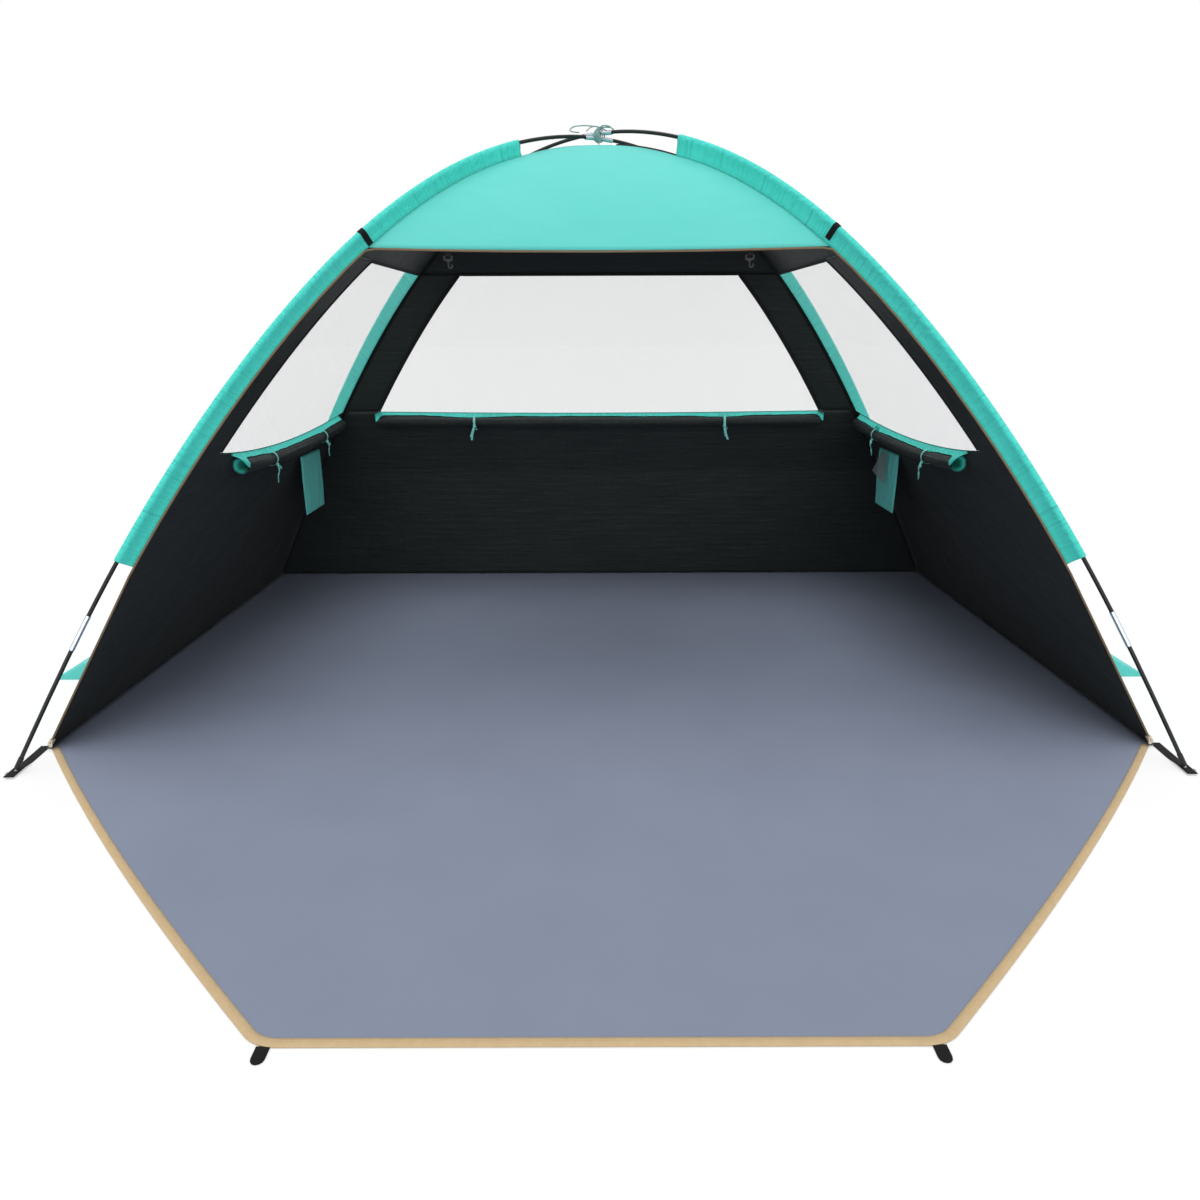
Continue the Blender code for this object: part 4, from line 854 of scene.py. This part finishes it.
def mesh_material(name, colour, hole=0.0016, clear=0.06, solid=0.50):
    """Knitted polyester mesh with holes of 1 mm, drawn 1.6 mm apart. Between its threads it is clear."""
    material, tree, shader = new_material(name, Roughness=0.8, Sheen_Weight=0.1)
    place = add(tree, "ShaderNodeUVMap", uv_map="cloth").outputs[0]
    threads = maths(tree, "MAXIMUM", waves_at(tree, place, hole, "X"), waves_at(tree, place, hole, "Y"))
    cover = rescaled(tree, threads, From_Min=0.55, From_Max=1.0, To_Min=clear, To_Max=solid)
    tree.links.new(cover, shader.inputs["Alpha"])
    two_tone(tree, threads, colour - 0x101010, colour)
    return material


window_mesh = mesh_material("knitted_mosquito_mesh", 0xE6E8E9)
edge_tape = tape_material("edging_tape_black", 0x0B0D0D, 0x1A1D1E)


def lay_tape(name, rows, wall=0.0006):
    """A flat tape through rows of points across its width, given its thickness."""
    mesh = grid_mesh(name, rows)
    piece = thicken(new_piece(name, mesh, edge_tape), wall)


def window_edging(name, place, outline, inward, width=0.010):
    """Tape round a window. outline holds its corners' (column, row), and place gives a wall point for them."""
    stops = []
    for (c0, r0), (c1, r1) in zip(outline, outline[1:]):
        stops += [(c0 + (c1 - c0) * k / 50, r0 + (r1 - r0) * k / 50) for k in range(50)]
    stops.append(outline[-1])
    centre = place(0.5, 0.5)
    rows = []
    for k, (column, row) in enumerate(stops):
        point = place(column, row)
        ahead = place(*stops[min(k + 1, len(stops) - 1)]) - place(*stops[max(k - 1, 0)])
        away = inward(point)
        aside = ahead.cross(away).normalized()
        if aside.dot(centre - point) < 0:
            aside = -aside
        row = []
        for c in range(5):
            rise = 0.0011 + 0.0002 * math.sin(math.pi * c / 4)
            row.append(point + aside * (width * (c / 4 - 0.5)) + away * rise)
        rows.append(row)
    lay_tape(name, rows)


def make_window(name, node, place, columns, edges, inward):
    """One layer of mesh with its edging. place gives a point for a column share and a row share."""
    amount = lambda point, column, row: 0.0018 * noise.noise(point * 4) * fade(column) * fade(row)
    mesh = face_out(grid_mesh(name, panel_rows(place, columns, 34, amount)))
    piece = new_piece(name, mesh, window_mesh)
    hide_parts(node)
    window_edging(f"{name}_edging", place, edges, inward)


for side_name, side in SIDES.items():
    def side_window(column, row, side=side):
        sill = side_sill(column) + 2 * gap
        return side_point(side, sill + (window_top - gap - sill) * row, column, front_room=side_band + 2 * gap)

    facing = lambda point, side=side: Vector((-side, 0, -0.45)).normalized()
    edges = [(0.002, 0), (0.002, 0.998), (0.995, 0.998)]
    make_window(f"mesh_window_{side_name}", f"window_{side_name}", side_window, 60, edges, facing)


def back_window(column, row):
    share = 2 * column - 1
    sill = back_sill(share) + 2 * gap
    return back_point(sill + (window_top - gap - sill) * row, share, room=back_band + 2 * gap)


facing = lambda point: Vector((0, -1, -0.45)).normalized()
edges = [(0.001, 0), (0.001, 0.998), (0.999, 0.998), (0.999, 0)]
make_window("mesh_window_back", "window_back", back_window, 90, edges, facing)


def make_band_tops():
    """Tape over the joints between the roof and the back wall's two bands, beside the back window."""
    height, width = window_top - 0.0005, 0.010
    for side_name, side in SIDES.items():
        rows = []
        for k in range(13):
            point = back_point(height, side).lerp(back_point(height, side, room=back_band), 0.04 + 0.96 * k / 12)
            rows.append([point + Vector((0, -0.0011, width * (c / 3 - 0.5))) for c in range(4)])
        lay_tape(f"band_top_back_{side_name}", rows)


def make_seam_tapes():
    """Black tape folded into the corner inside each seam. The front ones end at the canopy's hem."""
    off = 0.0016
    for side_name, side in SIDES.items():
        for end_name, end in ENDS.items():
            rows = []
            if end > 0:
                for height in np.linspace(foot_height + 0.001, low_height - 0.01, 24):
                    half, depth = edge_at(end, height)
                    rows.append(corner_row(side, end, half, abs(depth), height, off))
            first = sleeve_start + 0.01 if end > 0 else place_of_height(hem_height) + 0.012
            for place in np.linspace(first, leg_length - 0.055, 110 if end > 0 else 60):
                reach, height = seam_at(float(place))
                deep = leg_point(side, end, float(place), -between(place, stations, seam_drop) - 0.0021)
                rows.append(corner_row(side, end, reach * across, reach * along, height, off, deep))
            lay_tape(f"seam_tape_{end_name}_{side_name}", rows, wall=thin_cloth)


def corner_row(side, end, half, depth, height, off, deep=None):
    """One row of a seam tape: a wing on each panel, and its fold in the corner, or at a given point."""
    wing = 0.0115
    fold = deep or Vector((side * (half - 0.0022), end * (depth - 0.0022), height))
    on_side = [Vector((side * (half - off), end * (depth - reach), height)) for reach in (wing, 0.007, 0.0042)]
    on_end = [Vector((side * (half - reach), end * (depth - off), height)) for reach in (0.0042, 0.007, wing)]
    return on_side + [fold] + on_end


make_band_tops()
make_seam_tapes()

# THE ROLLED WINDOW COVERS
# Each window's cover of the black coated polyester is sewn to the sill. It is rolled up from its free edge,
# black outwards, and two mint tapes tie it. Its mint face shows above the roll and in the open ends.

roll_radius, roll_drop, roll_seat = 0.0195, 0.021, 0.0006
roll_start, roll_corner_room, roll_end_share = 0.125, 0.050, 0.985
pinch_share, tie_spread = 0.22, 0.06
tie_tape = tape_material("tie_tape_mint", 0x74E2D7, 0x9FF2EA, rib=0.0013)


def inward_normal(wall_at, where, height):
    level = wall_at(where + 0.01, height) - wall_at(where, height)
    rise = wall_at(where, height + 0.01) - wall_at(where, height)
    normal = level.cross(rise).normalized()
    outward = wall_at(where, height)
    outward.z = 0
    return -normal if normal.dot(outward) > 0 else normal


def around(centre, inward, upward, size, angle):
    """A point at a distance from a roll's centre, at an angle from inward to upward."""
    return centre + inward * (size * math.cos(angle)) + upward * (size * math.sin(angle))


def make_roll(name, node, wall_at, sill_at, start, end, ties, flaps, seed):
    """A cover rolled up along its sill. flaps gives how far the cloth's corner sticks out at each end."""

    def frame_at(share):
        where = start + (end - start) * share
        height = sill_at(where) - roll_drop
        inward = inward_normal(wall_at, where, height)
        upward = (Z_AXIS - inward * inward.z).normalized()
        return where, wall_at(where, height) + inward * (roll_radius + 0.0005 + roll_seat), inward, upward

    def pinched(share):
        return 1 - pinch_share * sum(math.exp(-(((share - tie) / tie_spread) ** 2)) for tie in ties)

    length = (frame_at(1)[1] - frame_at(0)[1]).length

    def puff(angle, share):
        """Lengthwise wrinkles, drawn together at the ties."""
        run = share * length
        around = Vector((math.cos(angle), math.sin(angle), 0))
        broad = noise.noise(around * 1.2 + Vector((seed, 0, run * 11)))
        wrinkle = noise.noise(around * 3.4 + Vector((0, seed, run * 5)))
        slant = noise.noise(around * 2.2 + Vector((seed, 5, run * 38)))
        drawn = sum(math.exp(-(((share - tie) * length / 0.050) ** 2)) for tie in ties)
        return 0.0013 * broad + (0.0009 + 0.0015 * drawn) * wrinkle + 0.0008 * slant - 0.0006

    turns, layer = 3.1, 0.0016
    columns, rows = int(turns * 34), max(int(length / 0.0085), 60)
    skin = []
    for r in range(rows + 1):
        share = r / rows
        _, centre, inward, upward = frame_at(share)
        line = []
        for c in range(columns + 1):
            turn = turns * 2 * math.pi * c / columns
            angle = math.radians(60) - turn
            size = (roll_radius - 0.0010 - layer * turn / (2 * math.pi)) * pinched(share) + puff(angle, share)
            size += 0.0022 * math.exp(-((share * length / 0.006) ** 2)) * bool(flaps[0])
            line.append(around(centre, inward, upward, size, angle))
        skin.append(line)
    mesh = face_out(grid_mesh(name, skin), frame_at(0.5)[1])
    roll = thicken(new_piece(name, mesh, black_coat, sleeve_cloth), thin_cloth, -1, inner=1)

    # The cover's mint side between the sill and the roll, folded out at its corners
    edge_rows = []
    first, last = -flaps[0] / length, 1 + flaps[1] / length
    count = int((last - first) * length / 0.006)
    for r in range(count + 1):
        share = first + (last - first) * r / count
        where, centre, inward, upward = frame_at(share)
        sill = wall_at(where, sill_at(where) - 0.0015) + inward * 0.0011
        beyond = max(-share, share - 1, 0) * length
        ends = [abs(at) * length / 0.014 for at, flap in ((share, flaps[0]), (share - 1, flaps[1])) if flap]
        flap = math.exp(-min(ends, default=9) ** 2) if not beyond else max(0, 1 - beyond / 0.045)
        shrink = max(0.10, 1 - beyond / max(*flaps, 0.01))
        lumps = noise.noise(Vector((seed, share * length * 26, 1)))
        stop = math.radians(105 + 5 * lumps - 90 * flap)
        lifted = centre + (upward * 0.9 - inward * 0.9) * (roll_radius * (1 - shrink))
        line = [sill]
        for c in range(1, 17):
            angle = math.radians(114) + (stop - math.radians(114)) * (c - 1) / 15
            held = clamp(share)
            size = ((roll_radius - 0.0010) * pinched(held) + puff(angle, held)) * shrink + 0.0014
            size += 0.0020 * flap * (c / 16) * (1 + noise.noise(Vector((share * length * 60, c * 0.4, seed))))
            line.append(around(lifted, inward, upward, size, angle))
        edge_rows.append(line)
    edge = new_piece(f"{name}_edge", grid_mesh(f"{name}_edge", edge_rows), sleeve_cloth)
    pieces = [thicken(edge, thin_cloth)]
    for number, tie in enumerate(ties):
        size = roll_radius * (1 - pinch_share) + 0.0030
        pieces.append(make_tie(f"{name}_tie_{number}", *frame_at(tie)[1:], size, seed + number))
    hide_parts(node)


def ribbon(points, aside, width):
    """A strip of a width along points, as rows of three points."""
    return [[Vector(p) - aside * (width / 2), Vector(p), Vector(p) + aside * (width / 2)] for p in points]


def make_tie(name, centre, inward, upward, size, seed):
    """A tape round the roll, knotted at its front, with two tails and a small loop."""
    aside = inward.cross(upward).normalized()
    width = 0.008
    ring = [around(centre, inward, upward, size, math.radians(130 - 9 * k)) for k in range(41)]
    knot = around(centre, inward, upward, size + 0.0012, -0.25)
    meshes = [grid_mesh("ring", ribbon(ring, aside, width))]
    lean = 0.22 if seed % 2 else -0.22
    for number, run in enumerate((0.046, 0.036)):
        tail = []
        for k in range(15):
            share = k / 14
            sway = 0.0025 * math.sin(2.6 * share + seed) * share + 0.004 * number * share
            out = 0.0026 + 0.0036 * math.sin(math.pi * min(share * 1.6, 1)) + 0.0012 * number
            tail.append(knot - Z_AXIS * (run * share) + aside * (run * lean * share + sway) + inward * out)
        meshes.append(grid_mesh("tail", ribbon(tail, aside, width * 0.85)))
    loop = []
    for k in range(25):
        angle = 2 * math.pi * k / 24
        spread = 0.0060 * (1 - math.cos(angle))
        away = inward * (0.0058 + 0.0016 * math.sin(angle)) - Z_AXIS * spread * 0.8
        loop.append(knot - aside * (0.0045 * math.sin(angle) + spread * 0.6) + away)
    meshes.append(grid_mesh("loop", ribbon(loop, (inward + Z_AXIS * 0.3).normalized(), width * 0.6)))
    knot_rows = []
    for r in range(9):
        polar = math.pi * (r + 0.5) / 9
        line = []
        for c in range(12):
            turn = 2 * math.pi * c / 12
            bump = 1 + 0.16 * noise.noise(Vector((math.cos(turn) * 2, math.sin(turn) * 2, polar * 2 + seed)))
            wide = aside * (0.0048 * math.sin(polar) * math.cos(turn)) + upward * (0.0040 * math.cos(polar))
            line.append(knot + wide * bump + inward * (0.0022 + 0.0030 * bump * math.sin(polar) * math.sin(turn)))
        knot_rows.append(line)
    meshes.append(grid_mesh("knot", knot_rows, closed=True))
    return thicken(new_piece(name, as_one(name, meshes), tie_tape), thin_cloth)


for number, (side_name, side) in enumerate(SIDES.items()):
    def side_wall_at(where, height, side=side):
        return side_point(side, height, where, front_room=side_band)

    window_width = 2 * edge_at(1, sill_height)[1] - side_band
    near, far = roll_start / window_width, 1 - roll_corner_room / window_width
    make_roll(
        f"rolled_cloth_{side_name}", f"rolled_cover_{side_name}", side_wall_at, side_sill, near, far, (0.27, 0.78),
        (0.045, 0.0), 3 + 4 * number,
    )
make_roll(
    "rolled_cloth_back", "rolled_cover_back", lambda where, height: back_point(height, where, room=back_band),
    back_sill, -roll_end_share, roll_end_share, (0.22, 0.78), (0.006, 0.006), 13,
)

# THE INNER POCKETS
# Two small bags of the mint polyester hang inside the side walls, open at the top with a folded rim. The
# right one has a front of grey gathered mesh. Their thin cloth is full of creases.

pocket_width, pocket_height, pocket_hollow = 0.180, 0.178, 0.010
pocket_place, pocket_top, pocket_seat = 0.265, 0.494, 0.0007
pocket_cloth = woven("thin_polyester_mint", 0x63DCD0, 0x80F0E6, crumple=1.0)
pocket_mesh = mesh_material("gathered_mesh_grey", 0x9A9EA2, clear=0.25, solid=0.9)


def make_inner_pocket(side, side_name):
    """The bag's cloth, as one closed sleeve of cloth with a bottom, creased from its upper corners down."""
    half_at = []
    for depth in (pocket_place, pocket_place + pocket_width):
        front, back = edge_at(-1, pocket_top)[1], edge_at(1, pocket_top)[1]
        half_at.append(abs(side_point(side, pocket_top, (depth - front) / (back - front)).x))
    outer = min(half_at) - 0.0005 - pocket_seat
    middle = outer - (pocket_hollow + 0.002) / 2

    def crumple(depth, height, seed):
        spot = Vector((depth * 48 + height * 6, height * 11, seed))
        return 0.0026 * noise.noise(spot) + 0.0016 * abs(noise.noise(spot * 2.1)) - 0.0008

    rows = []
    for r in range(61):
        share = r / 60
        height = pocket_top - pocket_height * (1 - share)
        open_half = 0.0052 * math.sin(math.pi * min(share * 0.5 + 0.04, 0.5)) ** 0.6 + 0.0003
        line = []
        for c in range(88):
            turn = 2 * math.pi * c / 88
            run = math.cos(turn)
            depth = pocket_place + pocket_width * (0.5 + 0.495 * math.copysign(abs(run) ** 0.55, run))
            bulge = math.copysign(abs(math.sin(turn)) ** 0.55, math.sin(turn)) * open_half
            wrinkle = crumple(depth, height, side * 3 + (bulge > 0)) * min(abs(bulge) / 0.003, 1)
            x = min(middle + bulge + wrinkle * 0.9, outer - 0.0006)
            line.append(Vector((side * max(x, outer - 0.0145), depth, height)))
        rows.append(line)
    mesh = grid_mesh(f"inner_pocket_{side_name}", rows, closed=True)
    half_height = pocket_top - pocket_height / 2
    close_rims(mesh, lambda edge: edge.verts[0].co.z < half_height)
    face_out(mesh, (side * middle, pocket_place + pocket_width / 2, half_height))
    piece = thicken(new_piece(f"inner_pocket_cloth_{side_name}", mesh, pocket_cloth), thin_cloth, -1)
    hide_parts(f"inner_pocket_{side_name}")

    def on_face(share, height):
        return Vector((side * (outer - 0.0150), pocket_place + pocket_width * share, height))

    lines = []
    for height in (pocket_top - 0.004, pocket_top - 0.016, pocket_top - pocket_height + 0.005):
        lines.append([on_face(0.03 + 0.94 * k / 40, height) for k in range(41)])
    for share in (0.03, 0.97):
        lines.append([on_face(share, pocket_top - pocket_height * k / 40) for k in range(1, 40)])
    stitches = sew(f"pocket_stitches_{side_name}", lines, mint_thread, mesh, lift=0.0002)
    if side > 0:
        net = []
        for r in range(31):
            share = r / 30
            line = []
            for c in range(121):
                run = c / 120
                near, away = 0.36 - 0.03 * share, 0.68 + 0.36 * share
                depth = pocket_place + pocket_width * (near + (away - near) * run)
                height = pocket_top - 0.003 - share * (0.094 - 0.022 * run)
                bent = 1.5 * noise.noise(Vector((run * 6, share * 2, 3)))
                fold = (0.0004 + 0.0016 * share) * math.sin(2 * math.pi * 13 * run + bent)
                full = 0.0045 * share + 0.0012
                line.append(Vector((side * (outer - 0.0156 - full - fold - 0.0018), depth, height)))
            net.append(line)
        gathered = new_piece("pocket_net_right", grid_mesh("pocket_net", net), pocket_mesh)


for side_name, side in SIDES.items():
    make_inner_pocket(side, side_name)

# THE SAND POCKETS
# Wedge-shaped bags of mint polyester outside the side walls, open at the top. Filled with sand, they hold the
# tent down. Empty, their thin cloth stands slack and creased.

for side_name, side in SIDES.items():
    bag = sewn_copy(f"sand_pocket_{side_name}", f"sand_bag_{side_name}", (0, 0, 1), 0.012, 0.0014, mint_cloth)
    wall = skin_of(nodes[f"side_panel_{side_name}"].data)
    for vertex in bag.data.vertices:
        away = vertex.co - wall.find_nearest(vertex.co)[0]
        free = clamp((away.length - 0.012) / 0.05) * min(vertex.co.z / 0.05, 1)
        slack = 0.7 * noise.noise(vertex.co * 9) + 0.3 * noise.noise(vertex.co * 26)
        vertex.co += away.normalized() * (0.018 * slack * free)

# THE GROUND SHEET
# Floor and porch are one grey sheet of woven polyethylene, smooth to the hand and matt, which lies on the
# sand. The real sheet folds at the doorway so that the porch can be turned up in front of it; here it is one
# flat piece that stays in place.

porch_inset, porch_front_half, porch_reach = 0.010, 0.440, 1.494
porch_bow, porch_corner_radius = 0.030, 0.065


def porch_side():
    """The porch's right side and round front corner, from the fold outwards."""
    back = Vector((floor_front_half - porch_inset, -floor_front_depth - gap))
    front = Vector((porch_front_half, -porch_reach))
    run = back - front
    points = []
    for k in range(41):
        share = k / 40
        bow = 4 * share * (1 - share) * porch_bow
        points.append(back.lerp(front, share) + Vector((bow * run.y / run.length, 0)))
    corner = points.pop()
    before = (points[-1] - corner).normalized()
    level = Vector((-1, 0))
    turn = before.angle(level)
    cut = porch_corner_radius / math.tan(turn / 2)
    middle = corner + (before + level).normalized() * (porch_corner_radius / math.sin(turn / 2))
    points = [point for point in points if (point - corner).length > cut]
    begin = math.atan2(*(corner + before * cut - middle).yx)
    finish = math.atan2(*(corner + level * cut - middle).yx)
    for k in range(13):
        turn = begin + (finish - begin) * k / 12
        points.append(middle + Vector((math.cos(turn), math.sin(turn))) * porch_corner_radius)
    return points


porch_edge = porch_side()


def floor_half(depth):
    """Half the ground sheet's width at a depth."""
    if depth > -floor_front_depth - gap:
        share = (depth + floor_front_depth) / (floor_back_depth + floor_front_depth)
        return floor_front_half + (floor_back_half - floor_front_half) * max(share, 0)
    return between(-depth, [-point.y for point in porch_edge], [point.x for point in porch_edge])


# Woven polyethylene with a smooth film: matt grey, its flat threads 2 mm wide, with faint level streaks
film_finish = {"roughness": 0.66, "sheen": 0.03, "pick": 0.0020, "slub": 0.10, "crumple": 0.12}
grey_film = woven("woven_polyethylene_grey", 0x838BA0, 0x8D96AA, **film_finish)


def make_ground_sheet():
    depths = [*np.linspace(floor_back_depth, -0.660, 110), *np.linspace(-0.664, -0.690, 14)]
    depths += [*np.linspace(-0.700, 0.030 - porch_reach, 60), *np.linspace(0.026 - porch_reach, -porch_reach, 12)]
    rows = []
    for depth in depths:
        half = floor_half(depth)
        height = floor_thickness + 0.0003 * clamp((-0.668 - depth) / 0.016)
        rows.append([(half * (2 * c / 130 - 1), depth, height) for c in range(131)])
    mesh = grid_mesh("ground_sheet", rows)
    if mesh.polygons[0].normal.z < 0:
        mesh.flip_normals()
    piece = new_piece("ground_sheet", mesh, grey_film, body=None)
    thicken(piece, 0.0010, -1)
    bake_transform(piece)
    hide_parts("floor", "porch")


make_ground_sheet()

# THE PORCH'S BINDING
# Sand-coloured grosgrain, 13 mm on each face, is folded over the porch's free edge and stitched down. Two
# loops of black webbing on its front corners take pegs.

binding_width = 0.013
tan_grosgrain = tape_material("grosgrain_tape_tan", 0xC9AD84, 0xD9BF95)
tan_thread = thread_material("spun_thread_tan", 0xA98E66, 0xC9B088)


def make_binding():
    """The folded tape: up over the edge from below, in one sheet of its own thickness."""
    line = [Vector((*point, 0)) for point in porch_edge]
    line = line[:-1] + [line[-1].lerp(Vector((-line[-1].x, line[-1].y, 0)), k / 60) for k in range(61)]
    line += [Vector((-point.x, point.y, 0)) for point in porch_edge[::-1]][1:]
    section = [(-binding_width, 0.0025), (-0.009, 0.0026), (-0.005, 0.0026), (-0.001, 0.0025), (0.0006, 0.0021)]
    section += [(0.0009, 0.0014), (0.0006, 0.0007), (-0.001, 0.0003), (-0.008, 0.0003), (-binding_width, 0.0003)]
    rows, seams = [], [[], []]
    for k, point in enumerate(line):
        ahead = (line[min(k + 1, len(line) - 1)] - line[max(k - 1, 0)]).normalized()
        out = ahead.cross(Z_AXIS)
        if out.dot(point - Vector((0, -1.0, 0))) < 0:
            out = -out
        rows.append([point + out * reach + Z_AXIS * height for reach, height in section])
        for seam, reach in zip(seams, (0.0030 - binding_width, 0.0055 - binding_width)):
            seam.append(point + out * reach + Z_AXIS * 0.0026)
    mesh = face_out(grid_mesh("porch_binding", rows), (0, -1.0, 0.0014))
    piece = new_piece("porch_binding_tape", mesh, tan_grosgrain, body="porch")
    thicken(piece, 0.0006)
    seams = [smooth_route(seam, 2) for seam in seams]
    stitches = sew("porch_binding_stitches", seams, tan_thread, mesh, body="porch")
    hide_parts("porch_binding")


make_binding()
loop_end, loop_tuck = 0.002 - porch_reach - 0.0045, 0.0022
for side_name in SIDES:
    names = f"porch_tab_{side_name}", f"peg_loop_{side_name}"
    loop = sewn_copy(*names, (0, 1, 0), 0.004, 0.0002, black_webbing, body="porch")
    for vertex in loop.data.vertices:
        if vertex.co.y > loop_end:
            vertex.co.y += loop_tuck

# THE DOORWAY'S TAPE
# The same tan grosgrain as the porch's binding binds the doorway, up one side, along the canopy's hem and down
# the other, coloured a darker brown here as a painted shade. Two small loops of it under the hem carry the hooks,
# and black straps go round the front sleeves where the hem ends.

# The tan grosgrain in a darker brown: painted shade, where the doorway's edge lies in shadow
shaded_tan_grosgrain = tape_material("grosgrain_tape_tan_painted_shade", 0x75604A, 0x957F64, rib=0.0012)
tapes = shaded_tan_grosgrain, black_webbing
doorway_tape = sewn_copy("doorway_tape", "doorway_binding", (0, 0.1, 1), 0.006, 0.0002, *tapes)
hook_aside, hook_loop_half, hook_loop_low, hook_loop_top = 0.331, 0.0065, 0.9, 1.0262
for face in doorway_tape.data.polygons:
    beside = abs(abs(face.center.x) - hook_aside)
    if beside < hook_loop_half and hook_loop_low < face.center.z < hook_loop_top:
        face.material_index = 1
for side_name, side in SIDES.items():
    names = f"hem_strap_{side_name}", f"hem_webbing_{side_name}"
    strap = sewn_copy(*names, (0, 0.4, 1), 0.004, 0.0002, black_webbing)

# THE HOOKS AND THE ZIP SLIDERS
# Flat hooks of black acetal, moulded, satin with a faint grain, hang under the hem. The sliders and their
# pulls at the doorway's corners are die-cast zinc with a cream lacquer.


def acetal():
    """Moulded acetal: black and satin, with the fine grain of its mould."""
    gloss = {"Roughness": 0.45, "Specular_IOR_Level": 0.35}
    material, tree, _, grain = grained("moulded_acetal_black", 0x0A0A0B, 0x151516, 2500, 2, **gloss)
    raised(tree, grain, 0.2, 0.0001)
    return material


def lacquered_zinc():
    """Die-cast zinc with cream lacquer, glossy, rubbed through to the metal in a few places."""
    gloss = {"Roughness": 0.35, "Coat_Weight": 0.3}
    material, tree, shader, clouds = grained("lacquered_zinc_cream", 0xE2D6BE, 0xF4ECDA, 400, 3, **gloss)
    tree.links.new(rescaled(tree, clouds, From_Min=0.66, From_Max=0.72), shader.inputs["Metallic"])
    return material


hook_acetal = acetal()
slider_lacquer = lacquered_zinc()
for side_name in SIDES:
    dress(f"canopy_hook_{side_name}", hook_acetal)
    dress(f"zip_slider_{side_name}", slider_lacquer)
    dress(f"zip_pull_{side_name}", slider_lacquer)

# THE LIGHT AND THE CAMERA
# A white studio floor under a soft, high light. The camera stands low in front of the doorway, as in the
# photo.


def seen_by_eye(tree):
    """1 for a camera, glossy or transmission ray, which see the backdrop white, and 0 for the light itself."""
    path = add(tree, "ShaderNodeLightPath").outputs
    seen = maths(tree, "MAXIMUM", path["Is Camera Ray"], path["Is Glossy Ray"])
    return maths(tree, "MAXIMUM", seen, path["Is Transmission Ray"])


def make_stage(reach=40, depth=-0.0006, shade=0.60, glow=0.44, sky_light=0.35):
    """A floor that is white where nothing shades it, and a sky that lights less than it shows."""
    material, tree, shader = new_material("studio_white", Roughness=1.0, Specular_IOR_Level=0.0)
    shader.inputs["Base Color"].default_value = (shade, shade, shade, 1)
    strength = maths(tree, "MULTIPLY", seen_by_eye(tree), glow)
    light = add(tree, "ShaderNodeEmission", {"Color": (1, 1, 1, 1), "Strength": strength})
    both = add(tree, "ShaderNodeAddShader", {0: shader.outputs[0], 1: light.outputs[0]})
    tree.links.new(both.outputs[0], tree.nodes["Material Output"].inputs["Surface"])
    mesh = bpy.data.meshes.new("studio_floor")
    corners = [(-reach, -reach, 0), (reach, -reach, 0), (reach, reach, 0), (-reach, reach, 0)]
    mesh.from_pydata(corners, [], [(0, 1, 2, 3)])
    mesh.materials.append(material)
    floor = bpy.data.objects.new("studio_floor", mesh)
    floor.location.z = depth
    bpy.context.scene.collection.objects.link(floor)

    world = bpy.data.worlds.new("studio")
    world.use_nodes = True
    tree = world.node_tree
    tree.nodes.clear()
    strength = rescaled(tree, seen_by_eye(tree), To_Min=sky_light, To_Max=1.0)
    sky = add(tree, "ShaderNodeBackground", {"Color": (1, 1, 1, 1), "Strength": strength})
    add(tree, "ShaderNodeOutputWorld", {"Surface": sky.outputs[0]})
    bpy.context.scene.world = world


def add_sun(name, towards, strength, spread):
    """A broad soft light from a direction."""
    lamp = bpy.data.lights.new(name, "SUN")
    lamp.energy = strength
    lamp.angle = math.radians(spread)
    holder = bpy.data.objects.new(name, lamp)
    holder.rotation_euler = Vector(towards).to_track_quat("Z", "Y").to_euler()
    bpy.context.scene.collection.objects.link(holder)


make_stage()
add_sun("ceiling", (-0.08, 0.02, 1.0), 1.55, 62)
add_sun("front", (0.10, -1.0, 0.34), 1.15, 60)

camera = bpy.data.cameras.new("camera")
camera.sensor_width = 36
camera.lens = 26.1
eye = bpy.data.objects.new("camera", camera)
eye_depth, eye_height, tilt_down, roll_aside = -2.374, 0.870, 0.3052, -0.003
eye.matrix_world = Matrix.Translation((0, eye_depth, eye_height)) @ (
    Matrix.Rotation(math.pi / 2 - tilt_down, 4, "X") @ Matrix.Rotation(roll_aside, 4, "Z")
)
bpy.context.scene.collection.objects.link(eye)
bpy.context.scene.camera = eye
bpy.context.scene.view_settings.view_transform = "Standard"
